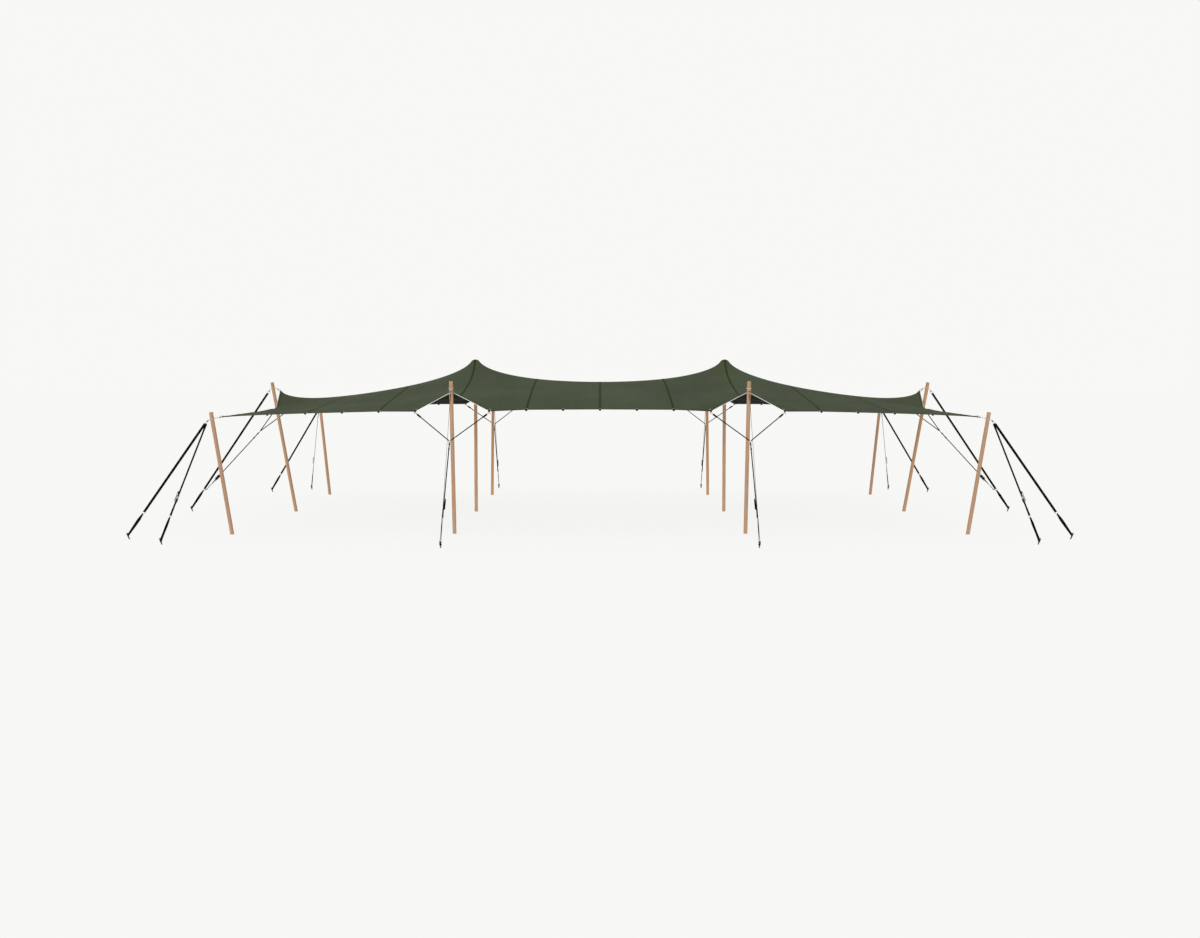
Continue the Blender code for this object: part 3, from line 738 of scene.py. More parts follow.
@dataclass(frozen=True)
class WebbingFinish(Finish):
    """Woven polyester webbing with ribs across it, worn a little pale, and dusty near the ground."""

    def coat(self, wiring: Wiring, place: Socket, surface: Socket) -> Coat:
        """Webbing: a coarse weave on the surface, pale wear and earth in the weave."""
        weave = WOVEN.use(wiring, surface, threads=430.0)[0]
        wear = MOTTLED.use(wiring, place, scale=7.0)[0]
        colour = wiring.tinted(self.shade(), weave, wear, self.shade(1.5, 15))
        colour = dusted(wiring, place, colour, 0.3, 0.12, linear(96, 86, 74))
        return Coat(colour, self.rough(wiring, weave, 0.12, 0.0), weave, 0.0006, 0.8)


@dataclass(frozen=True)
class RopeFinish(Finish):
    """Laid synthetic rope: yarns slant over each strand, darker in the hollows between them, and grimy in
    patches.
    """

    def coat(self, wiring: Wiring, place: Socket, surface: Socket) -> Coat:
        """Rope: dark between its yarns, and grimy in patches."""
        yarns = LAID.use(wiring, surface, yarns=210.0)[0]
        grime, specks = MOTTLED.use(wiring, place, scale=9.0)
        colour = wiring.mix(yarns, self.shade(0.72), self.shade())
        colour = wiring.tinted(colour, grime, 0.35, self.shade(0.6))
        return Coat(colour, self.rough(wiring, specks, -0.05, 0.08), yarns, 0.0007, 0.8)


@dataclass(frozen=True)
class MetalFinish(Finish):
    """Plated or painted steel: cloudy colour, fine scratches, and rust or earth low down."""

    rust: float = 0.2

    def coat(self, wiring: Wiring, place: Socket, surface: Socket) -> Coat:
        """Metal: clouds in its colour, scratches in its gloss, and rust in small spots."""
        clouds = MOTTLED.use(wiring, place, scale=28.0)[0]
        scratches = wiring.mask(wiring.drawn(place, (900.0, 900.0, 60.0)), 1.0, 2.0, 0.45, 0.62)
        spots = wiring.mask(place, 90.0, 6.0, 0.58, 0.66)
        rusty = wiring.times(spots, self.rust)
        colour = wiring.mix(clouds, self.shade(0.82), self.shade())
        colour = wiring.mix(rusty, colour, linear(104, 62, 38))
        colour = dusted(wiring, place, colour, 0.14, 0.6, linear(120, 104, 86))
        rough = wiring.maths("MULTIPLY_ADD", rusty, 0.3, self.rough(wiring, scratches, -0.08, 0.14))
        return Coat(colour, rough, wiring.maths("ADD", scratches, spots), 0.0002, 0.4)


@dataclass(frozen=True)
class RubberFinish(Finish):
    """Moulded rubber or plastic: matt, finely grained, with pale scuffs."""

    def coat(self, wiring: Wiring, place: Socket, surface: Socket) -> Coat:
        """Rubber: pale where its scuffs are, and grained all over."""
        scuffs, specks = MOTTLED.use(wiring, place, scale=16.0)
        marks = wiring.spread(scuffs, 0.55, 1.0)
        colour = wiring.tinted(self.shade(), marks, 0.35, self.shade(1.5, 12))
        grain = wiring.noise(place, 1400.0, 2.0)
        return Coat(colour, self.rough(wiring, specks, -0.08, 0.08), grain, 0.0003, 0.5)


class Look(Enum):
    """Every finish of the tent."""

    CLOTH = ClothFinish("olive_cloth", (66, 73, 55), 0.88, gloss=0.04)
    # The underside finishes are darker copies of the top's: partly a second tone of the cloth, partly painted
    # shade under the canopy.
    UNDERSIDE = ClothFinish("cloth_underside", (16, 19, 14), 0.94, gloss=0.02)
    SEAM = ClothFinish("cloth_seam", (42, 52, 18), 0.86, gloss=0.04, stitches=0.030)
    UNDER_SEAM = ClothFinish("cloth_seam_underside", (21, 25, 17), 0.94, gloss=0.02, stitches=0.030)
    HEM = ClothFinish("hem_cloth", (60, 67, 50), 0.88, gloss=0.04, stitches=0.018)
    # The pale edge cord's colour is a painted highlight on the drawn-out edge.
    BINDING = ClothFinish("edge_cord_painted_highlight", (196, 198, 190), 0.8, gloss=0.1, threads=600.0)
    TIMBER = TimberFinish("pole_timber", (149, 117, 91), 0.55, gloss=0.15)
    # The inner, side and back timbers are paler copies of the pole timber: painted light that makes up for
    # the canopy's shade on those poles.
    INNER_TIMBER = TimberFinish("inner_pole_timber", (166, 130, 100), 0.55, gloss=0.15)
    SIDE_TIMBER = TimberFinish("side_pole_timber", (157, 121, 91), 0.55, gloss=0.15)
    BACK_TIMBER = TimberFinish("back_pole_timber", (183, 140, 101), 0.55, gloss=0.15)
    END_GRAIN = TimberFinish("pole_end_grain", (200, 162, 126), 0.7, gloss=0.1, end_grain=True)
    WEBBING = WebbingFinish("black_webbing", (4, 4, 5), 0.85, gloss=0.02)
    PALE_ROPE = RopeFinish("pale_rope", (196, 196, 190), 0.75, gloss=0.2)
    DARK_ROPE = RopeFinish("dark_rope", (12, 12, 13), 0.8, gloss=0.04)
    STEEL = MetalFinish("zinc_steel", (168, 170, 172), 0.36, 0.9)
    BLACK_STEEL = MetalFinish("black_steel", (7, 7, 8), 0.7, gloss=0.06, rust=0.06)
    STAKE_STEEL = MetalFinish("stake_steel", (38, 38, 40), 0.6, 0.2, gloss=0.2, rust=0.35)
    RUBBER = RubberFinish("black_rubber", (12, 12, 13), 0.75, gloss=0.1)


def new_object(name: str, data: bpy.types.ID) -> bpy.types.Object:
    """Put an object with this data into the scene."""
    item = bpy.data.objects.new(name, data)
    bpy.context.scene.collection.objects.link(item)
    return item


def add_piece(
    name: str, shape: Shape, looks: Sequence[Look], replaces: Sequence[str] = ()
) -> bpy.types.Object:
    """Put one piece into the scene, riding on the part's body.

    Args:
        name: the piece's name.
        shape: its points and faces in the row frame.
        looks: one finish for each slot of its patches.
        replaces: the CAD nodes that it stands for.

    Returns:
        The object.
    """
    mesh = shape.mesh(name)
    for look in looks:
        mesh.materials.append(look.value.material)
    item = new_object(name, mesh)
    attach(item, BODY)
    if replaces:
        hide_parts(*replaces)
    LOG.info("%s: %d faces", name, len(mesh.polygons))
    return item


@dataclass
class Canopy:
    """The stretched sheet with its seams, hem, edge binding, webbing loops and eyelets."""

    length: float = 15.0
    depth: float = 10.0
    thickness: float = 0.003
    grid_step: float = 0.085
    across_pull: float = 1.05
    crown: float = 0.018
    peak_pull: float = 1.5
    peak_reach: float = 0.35
    settling_rounds: int = 1400
    settling_pace: float = 1.965
    short_edge_fade: int = 8
    pole_x: float = 3.0
    ball_radius: float = 0.130 + 0.0044 + 0.005
    ball_height: float = 3.660 - 0.130
    held_radius: float = 0.092
    edge_span: float = 0.16
    loop_step: float = 0.75
    loop_width: float = 0.044
    side_loops: int = 12
    seam_step: float = 1.5
    seam_width: float = 0.048
    seam_proud: float = 0.0013
    hem_width: float = 0.050
    hem_proud: float = 0.0014
    cord_half: tuple[float, float] = (0.0062, 0.0050)
    cord_out: float = 0.002
    loop_thickness: float = 0.0024
    eyelet_radius: float = 0.0150
    eyelet_inset: float = 0.046
    eyelet_lift: float = 0.0080
    patch_thickness: float = 0.0065
    patch_width: float = 0.044
    near: float = 0.01
    corner_tip: Triple = (7.66, 5.33, 2.42)
    edge_tip: Triple = (3.0, 5.42, 2.92)
    side_tip: Triple = (7.71, 0.0, 2.92)
    along: Array = field(init=False)
    across: Array = field(init=False)
    middle: Array = field(init=False)
    normal: Array = field(init=False)

    def __post_init__(self) -> None:
        """Work out the sheet's middle surface and its normals."""
        self.along = self.lines(self.length / 2, self.pole_x)
        self.across = self.lines(self.depth / 2, 0.0)
        self.middle = self.surface()
        self.normal = unit(np.cross(np.gradient(self.middle, axis=0), np.gradient(self.middle, axis=1)))

    def lines(self, reach: float, centre: float) -> Array:
        """Grid lines both sides of zero, closer together round a pole's line.

        The spacing is the grid's step, times 0.25 within 0.15 of the pole and 0.5 within 0.45 of it.

        Args:
            reach: the farthest line.
            centre: where the lines are closest.

        Returns:
            The lines in order.
        """
        steps = [(-0.45, 0.5), (-0.15, 0.25), (0.15, 0.5), (0.45, 1.0)]
        marks = [(0.0, 1.0)] + [(centre + shift, share) for shift, share in steps]
        marks = [(max(place, 0.0), share) for place, share in marks if centre > 0 or place >= -0.15]
        ends = [place for place, _ in marks[1:]] + [reach]
        runs = [
            np.linspace(low, high, max(round((high - low) / (self.grid_step * share)), 1), endpoint=False)
            for (low, share), high in zip(marks, ends) if high > low
        ]
        positive = np.concatenate(runs + [np.array([reach])])
        return np.concatenate([-positive[:0:-1], positive])

    @staticmethod
    def between_rows(rows: Sequence[Sequence[float]], distance: Array) -> list[Array]:
        """Each measure of an edge between its rows, which start with the distance from its middle."""
        place, *measures = zip(*rows)
        return [np.interp(np.abs(distance), place, values) for values in measures]

    def long_edge(self, along: Array) -> Axes:
        """Places along the long edge: x, distance out from the centre line, and height."""
        rows = [(0.0, 0.0, 5.25, 2.567), (1.5, 1.5, 5.28, 2.560), (2.25, 2.25, 5.37, 2.530),
                (3.0, *self.edge_tip), (3.75, 3.75, 5.37, 2.525), (4.5, 4.5, 5.31, 2.524),
                (6.0, 6.0, 5.27, 2.486), (6.75, 6.77, 5.28, 2.460), (7.5, *self.corner_tip)]
        x, out, height = self.between_rows(rows, along)
        return np.sign(along) * x, out, height

    def short_edge(self, across: Array) -> Axes:
        """Places along the short edge: distance out, y, and height."""
        step = self.depth / self.side_loops
        rows = [(0.0, *self.side_tip), (step, 7.62, 0.85, 2.51), (2 * step, 7.59, 1.70, 2.495),
                (2.5, 7.58, 2.56, 2.470), (3.7, 7.60, 3.86, 2.450), (5.0, *self.corner_tip)]
        out, y, height = self.between_rows(rows, across)
        return out, np.sign(across) * y, height

    def blended(self, long_edge: tuple[Array, Array], short_edge: tuple[Array, Array]) -> Array:
        """Spread edge values over the sheet.

        Value = straight mix of the two long edges + (1 - t)^8 of what the left edge lacks
        + t^8 of what the right edge lacks, with t from 0 at the left to 1 at the right.

        Args:
            long_edge: values on the front and the back edge.
            short_edge: values on the left and the right edge.

        Returns:
            A value at each crossing of the grid lines.
        """
        t = ((self.along + self.length / 2) / self.length)[:, None]
        s = ((self.across + self.depth / 2) / self.depth)[None, :]
        sheet = (1 - s) * long_edge[0][:, None] + s * long_edge[1][:, None]
        left = short_edge[0][None, :] - sheet[:1, :]
        right = short_edge[1][None, :] - sheet[-1:, :]
        return sheet + (1 - t) ** self.short_edge_fade * left + t**self.short_edge_fade * right

    def relaxed(self, height: Array, held: Array, tension: Array) -> Array:
        """Settle the free heights like a membrane.

        Each goes to the mean of its four neighbours, weighted by the tension between them, plus
        the crown, by red and black sweeps that overshoot by the settling pace.

        Args:
            height: first heights, with the held ones right.
            held: where the height stays.
            tension: how hard the cloth pulls at each place.

        Returns:
            The settled heights.
        """
        west, east = np.diff(self.along)[:-1, None], np.diff(self.along)[1:, None]
        south, north = np.diff(self.across)[None, :-1], np.diff(self.across)[None, 1:]
        own, cross = tension[1:-1, 1:-1] / 2, self.across_pull
        pull = [(own + tension[:-2, 1:-1] / 2) / (west * (west + east)),
                (own + tension[2:, 1:-1] / 2) / (east * (west + east)),
                cross * (own + tension[1:-1, :-2] / 2) / (south * (south + north)),
                cross * (own + tension[1:-1, 2:] / 2) / (north * (south + north))]
        total = sum(pull)
        rows, columns = np.indices(total.shape)
        free = ~held[1:-1, 1:-1]
        colours = [np.where(free & ((rows + columns) % 2 == k), self.settling_pace, 0.0) for k in (0, 1)]
        for _ in range(self.settling_rounds):
            for chosen in colours:
                mean = pull[0] * height[:-2, 1:-1] + pull[1] * height[2:, 1:-1]
                mean += pull[2] * height[1:-1, :-2] + pull[3] * height[1:-1, 2:]
                height[1:-1, 1:-1] += chosen * ((mean + self.crown / 2) / total - height[1:-1, 1:-1])
        return height

    def surface(self) -> Array:
        """The cloth's middle surface at the crossings of the grid lines.

        It pulls 1 + peak pull * e^(-r / peak reach) times as hard at r metres from a peak.
        """
        edge_x, edge_out, edge_z = self.long_edge(self.along)
        side_out, side_y, side_z = self.short_edge(self.across)
        half_length, half_depth = self.length / 2, self.depth / 2
        shift_x = self.blended((edge_x - self.along,) * 2, (half_length - side_out, side_out - half_length))
        shift_y = self.blended((half_depth - edge_out, edge_out - half_depth), (side_y - self.across,) * 2)
        x, y = self.along[:, None] + shift_x, self.across[None, :] + shift_y
        z = self.blended((edge_z, edge_z), (side_z, side_z))
        radius = np.hypot(np.abs(x) - self.pole_x, y)
        on_head = radius < self.held_radius
        cap = self.ball_height + np.sqrt(np.maximum(self.ball_radius**2 - radius**2, 0.0))
        held = on_head.copy()
        held[[0, -1], :] = True
        held[:, [0, -1]] = True
        tension = 1 + self.peak_pull * np.exp(-radius / self.peak_reach)
        return np.stack([x, y, self.relaxed(np.where(on_head, cap, z), held, tension)], axis=-1)

    def at(self, along: Array, across: Array, lift: float | Array = 0.0) -> Array:
        """Points on the sheet, or above it, between the grid's own.

        Args:
            along: places along the cut.
            across: places across it.
            lift: how far above the middle surface.

        Returns:
            The points, with the shape of the two arrays together.
        """
        along, across, lift = np.broadcast_arrays(along, across, lift)
        i = np.clip(np.searchsorted(self.along, along) - 1, 0, len(self.along) - 2)
        j = np.clip(np.searchsorted(self.across, across) - 1, 0, len(self.across) - 2)
        f = ((along - self.along[i]) / (self.along[i + 1] - self.along[i]))[..., None]
        g = ((across - self.across[j]) / (self.across[j + 1] - self.across[j]))[..., None]

        def between(values: Array) -> Array:
            """Mix the values of a cell's four corners."""
            near = values[i, j] * (1 - f) + values[i + 1, j] * f
            far = values[i, j + 1] * (1 - f) + values[i + 1, j + 1] * f
            return near * (1 - g) + far * g

        return between(self.middle) + unit(between(self.normal)) * lift[..., None]

    def sheet(self) -> Shape:
        """The cloth: top in slot 0, underside and edge in slot 1, whose darker colour is partly the cloth's
        own second tone and partly painted shade.
        """
        half = self.normal * self.thickness / 2
        top = grid(self.middle + half, self.along, self.across)
        under = grid(self.middle - half, self.along, self.across, slot=1)
        both = Shape.joined([top, Shape(under.points, tuple(p.reversed() for p in under.patches))])
        index = np.arange(len(top.points)).reshape(self.middle.shape[:2])
        rim = np.concatenate([index[:-1, 0], index[-1, :-1], index[:0:-1, -1], index[0, :0:-1]])
        after = np.roll(rim, -1)
        edge = np.stack([rim, rim + index.size, after + index.size, after], axis=-1)
        uv = np.zeros((len(rim), 4, 2)) + np.arange(len(rim))[:, None, None] * 0.08
        return Shape(both.points, both.patches + (Patch(edge, uv, 1),))

    def seams(self) -> Shape:
        """Raised bands over the panel seams, straight across the cut, their undersides in slot 1, whose
        darker finish is partly the seam's own tone and partly painted shade.
        """
        proud = self.thickness / 2 + self.seam_proud
        over = [(0.5, 0.5), (0.44, 1.0), (0.0, 1.12), (-0.44, 1.0), (-0.5, 0.5)]
        offsets, lifts = np.array(over + [(place, -lift) for place, lift in reversed(over)]).T
        across = np.clip(self.across, -self.depth / 2 + self.near, self.depth / 2 - self.near)
        half = round(self.length / 2 / self.seam_step)
        below = np.tile(np.arange(len(offsets)) >= len(over) - 1, len(across) - 1)
        bands = []
        for x in np.arange(1 - half, half) * self.seam_step:
            rows = self.at(x + offsets[None, :] * self.seam_width, across[:, None], lifts[None, :] * proud)
            bands.append(hose(rows).parted(below))
        return Shape.joined(bands)

    def rim(self, inset: float) -> tuple[Array, Array]:
        """Places in the cut of a line that goes round it, that far in from its edge."""
        x, y = self.along[:-1], self.across[:-1]
        along = np.concatenate([x, np.full(len(y), -x[0]), -x, np.full(len(y), x[0])])
        across = np.concatenate([np.full(len(x), y[0]), y, np.full(len(x), -y[0]), -y])
        return along * (1 - 2 * inset / self.length), across * (1 - 2 * inset / self.depth)

    def hem(self) -> Shape:
        """The doubled hem: a flat band over the edge, above and below, in a cloth of its own."""
        proud = self.thickness / 2 + self.hem_proud
        profile = [(self.hem_width, 0.4), (self.hem_width - 0.002, 1.0), (0.028, 1.1), (0.001, 1.0)]
        profile += [(inset, -lift) for inset, lift in reversed(profile)]
        rows = [self.at(*self.rim(inset), lift * proud) for inset, lift in profile]
        return hose(np.stack(rows, axis=1), closed=True)

    def edge_axes(self, along: Array, across: Array) -> tuple[Array, Array, Array, Array]:
        """Where the edge is and how it lies.

        Args:
            along: places along the cut, on its edge.
            across: places across it, on its edge.

        Returns:
            The point, and the directions outward in the cloth, along the edge, and up from the cloth.
        """
        place = self.at(along, across)
        span = self.edge_span
        inner = self.at(along * (1 - span / self.length), across * (1 - span / self.depth))
        outward = unit(place - inner)
        side = unit(np.cross(self.at(along, across, 1.0) - place, outward))
        return place, outward, side, np.cross(outward, side)

    def binding(self) -> Shape:
        """The cord sewn into the very edge, as a flat oval carried round it.

        Where a tip draws the edge out it is pale, a painted highlight, in slot 1, and cased in cloth
        elsewhere.
        """
        along, across = self.rim(0.0)
        place, outward, _, above = self.edge_axes(along, across)
        on_short = np.abs(along) > self.length / 2 - self.near
        on_long = np.abs(across) > self.depth / 2 - self.near
        outline = round_outline(1.0, 12) * self.cord_half
        stretch = np.where(on_short & on_long, 1.2, 1.0)[:, None, None]
        reach = outline[:, :1] * outward[:, None] * stretch
        rows = place[:, None] + self.cord_out * outward[:, None] + reach + outline[:, 1:] * above[:, None]
        # Near the tips the cord takes the pale finish, a painted highlight on the drawn-out edge.
        by_tip = np.abs(np.abs(along) - self.pole_x) < self.loop_step
        highlit = np.where(on_long, by_tip, np.abs(across) < self.depth / self.side_loops)
        return hose(rows[:, ::-1], closed=True).parted(np.repeat(highlit, len(outline)))

    def loop_places(self) -> Axes:
        """Places in the cut of every webbing loop on the edge, and which of them are free of rigging."""
        long, short = round(self.length / 2 / self.loop_step), self.side_loops // 2
        side_step = self.depth / self.side_loops
        steps = np.arange(1 - long, long) * self.loop_step
        side = np.arange(1 - short, short) * side_step
        along = np.concatenate([np.tile(steps, 2), np.repeat([-0.5, 0.5], len(side)) * self.length])
        across = np.concatenate([np.repeat([-0.5, 0.5], len(steps)) * self.depth, np.tile(side, 2)])
        rigged_long = np.abs(np.abs(steps) - self.pole_x) < 1.01 * self.loop_step
        rigged_side = np.abs(side) < 1.01 * side_step
        return along, across, ~np.concatenate([np.tile(rigged_long, 2), np.tile(rigged_side, 2)])

    def loops(self) -> tuple[Shape, Shape]:
        """Webbing loops folded over the hem that hang from it, and a steel eyelet above each.

        The path is place + out * outward + lift * above - drop * up, with these three by its points.

        Returns:
            The loops and the eyelets.
        """
        top = [(-0.032, 0.0050, 0.0), (-0.012, 0.0052, 0.0), (0.004, 0.0060, 0.0), (0.013, 0.0040, 0.003)]
        hang = [(0.0155, 0.0, 0.012), (0.0160, 0.0, 0.021), (0.012, 0.0, 0.0255), (0.0085, 0.0, 0.021)]
        back = [(0.007, 0.0, 0.010), (0.003, -0.0045, 0.002), (-0.012, -0.0052, 0.0), (-0.032, -0.0050, 0.0)]
        out, lift, drop = np.array(top + hang + back).T[..., None]
        along, across, free = self.loop_places()
        webbing, eyelets = [], []
        for place, outward, side, above, is_free in zip(*self.edge_axes(along, across), free):
            path = place + out * outward + lift * above - drop * UP
            width = self.loop_width * (1.0 if is_free else 0.9)
            webbing.append(carried(path, band_outline(self.loop_thickness, width), side))
            middle = place - outward * self.eyelet_inset + above * self.eyelet_lift
            ring = circle(middle, outward, side, self.eyelet_radius, 20)
            eyelets.append(carried(ring, round_outline(1.0, 8) * (0.0052, 0.0030), above, closed=True))
        return Shape.joined(webbing), Shape.joined(eyelets)

    def tip_patches(self) -> Shape:
        """Padded patches of the canopy's cloth at the four corners, each folded round its rope's eye."""
        far = np.array([0.30, 0.22, 0.14, 0.07, 0.02])[:, None]
        lift = np.array([0.0062, 0.0078, 0.0084, 0.0086, 0.0084])[:, None]
        nose = [(0.004, 0.0080), (0.012, 0.0083), (0.019, 0.0062), (0.0225, 0.0)]
        nose = np.array(nose + [(out, -up) for out, up in reversed(nose[:-1])])
        x, y = np.array([(x, y) for x in (-1, 1) for y in (-1, 1)]).T
        half_length, half_depth = self.length / 2, self.depth / 2
        along, across = x * (half_length - far * 0.8), y * (half_depth - far * 0.6)
        upper, under = self.at(along, across, lift), self.at(along, across, -lift)
        patches = []
        corners = zip(*self.edge_axes(x * half_length, y * half_depth))
        for k, (place, outward, side, above) in enumerate(corners):
            tip = place + nose[:, :1] * outward + nose[:, 1:] * above
            path = np.concatenate([upper[:, k], tip, under[::-1, k]])
            patches.append(carried(path, band_outline(self.patch_thickness, self.patch_width), side))
        return Shape.joined(patches)

    def build(self) -> None:
        # The underside's slot takes the darker finish, partly painted shade.
        cloth = (Look.CLOTH, Look.UNDERSIDE)
        sheet = add_piece("canopy_sheet", self.sheet(), cloth, ["canopy"])
        hem = Shape.joined([self.hem(), self.tip_patches()])
        webbing, eyelets = self.loops()
        extras = [
            add_piece("canopy_seams", self.seams(), (Look.SEAM, Look.UNDER_SEAM)),
            add_piece("canopy_hem", hem, (Look.HEM,)),
            add_piece("canopy_edge_cord_painted_highlight", self.binding(), (Look.HEM, Look.BINDING)),
            add_piece("canopy_edge_loops", webbing, (Look.WEBBING,)),
            add_piece("canopy_edge_eyelets", eyelets, (Look.STEEL,)),
        ]


@dataclass(frozen=True)
class Pole:
    """A round timber pole, cut level at the ground and chamfered at its top."""

    foot: Array
    top: Array
    radius: float = 0.040
    chamfer: float = 0.005
    sides: int = 40

    @property
    def axis(self) -> Array:
        """The pole's direction."""
        return unit(self.top - self.foot)

    def outward(self, place: Array) -> Array:
        """The level direction from the pole's foot to a stake."""
        return unit((place - self.foot) * point(1, 1, 0))

    def shape(self, seed: float) -> Shape:
        """The pole's skin: its radius waves by half a millimetre, and its first row lies on the ground.

        Args:
            seed: shifts the waves, so that no two poles are alike.

        Returns:
            The pole, with end grain in slot 1.
        """
        length = span(self.foot, self.top)
        distance = np.concatenate([[0.0], np.linspace(0.04, length - self.chamfer, 60), [length]])
        waves = 0.0004 * np.sin(distance * 5.1 + seed) + 0.0003 * np.sin(distance * 13.7 + 2 * seed)
        radius = self.radius + waves
        radius[-1] -= self.chamfer
        path = self.foot + distance[:, None] * self.axis
        outline, lean = round_outline(1.0, self.sides), point(0.12, 0.98, 0.1)
        skin = carried(path, outline, lean, scale=radius, tangent=self.axis, cap_slot=1)
        return skin.grounded(self.axis, self.sides)


@dataclass
class Poles:
    """Twelve poles and the rubber heads of the two in the middle."""

    corner: Pole = Pole(point(7.55, 5.20, 0.0), point(7.86, 5.51, 2.51))
    edge: Pole = Pole(point(3.0, 5.06, 0.0), point(3.0, 5.59, 3.13))
    side: Pole = Pole(point(7.365, 0.0, 0.0), point(7.905, 0.0, 3.12))
    seed_step: float = 1.7
    dome_radius: float = 0.130
    dome_angle: float = math.radians(38)
    apex: float = 3.660
    rim_height: float = 0.030
    neck_drop: float = 0.016
    neck_radius: float = 0.052
    neck_gap: float = 0.0003

    def neck_height(self) -> float:
        """Where the rubber head's neck starts, on the pole's top."""
        rim = self.apex - self.dome_radius + self.dome_radius * math.cos(self.dome_angle)
        return rim - self.rim_height - self.neck_drop

    def dome(self) -> Shape:
        """A pole head: neck, rolled rim and dome, turned about the pole's line, with a socket ring."""
        ball, bore, neck = self.dome_radius, self.neck_radius, self.neck_height()
        centre, rim = self.apex - ball, ball * math.sin(self.dome_angle)
        rim_z = centre + ball * math.cos(self.dome_angle) - neck
        angle = np.linspace(self.dome_angle, math.radians(2), 14)
        profile = [(0.0, bore - 0.002), (0.003, bore), (0.010, bore + 0.001), (0.016, bore + 0.006)]
        profile += [(0.022, rim - 0.016), (0.026, rim - 0.006), (0.031, rim - 0.001), (rim_z - 0.006, rim)]
        profile += zip(centre + ball * np.cos(angle) - neck, ball * np.sin(angle))
        return turned(point(3.0, 0.0, neck), UP, profile, 56)

    def build(self) -> None:
        """Make the poles and heads and put them in place of their nodes."""
        centre = Pole(point(3.0, 0.0, 0.0), point(3.0, 0.0, self.neck_height() - self.neck_gap))
        # Poles under or behind the canopy take paler timber copies, painted light against the canopy's shade.
        rows = [
            ("corner_pole_front", self.corner, Face.FRONT.value, Look.TIMBER),
            ("corner_pole_back", self.corner, Face.BACK.value, Look.SIDE_TIMBER),
            ("edge_pole_front", self.edge, Face.FRONT.value, Look.TIMBER),
            ("edge_pole_back", self.edge, Face.BACK.value, Look.BACK_TIMBER),
            ("side_pole", self.side, 1, Look.SIDE_TIMBER),
            ("centre_pole", centre, 1, Look.INNER_TIMBER),
        ]
        seed = 0.0
        for hand in Hand:
            for kind, pole, side_y, wood_and_painted_light in rows:
                seed += self.seed_step
                node = f"{kind}_{hand.word}"
                shape = pole.shape(seed).mirrored(hand.value, side_y)
                add_piece(f"{node}_timber", shape, (wood_and_painted_light, Look.END_GRAIN), [node])
            node = f"pole_head_{hand.word}"
            dome = self.dome().mirrored(hand.value)
            add_piece(f"{node}_dome", dome, (Look.RUBBER,), [node])


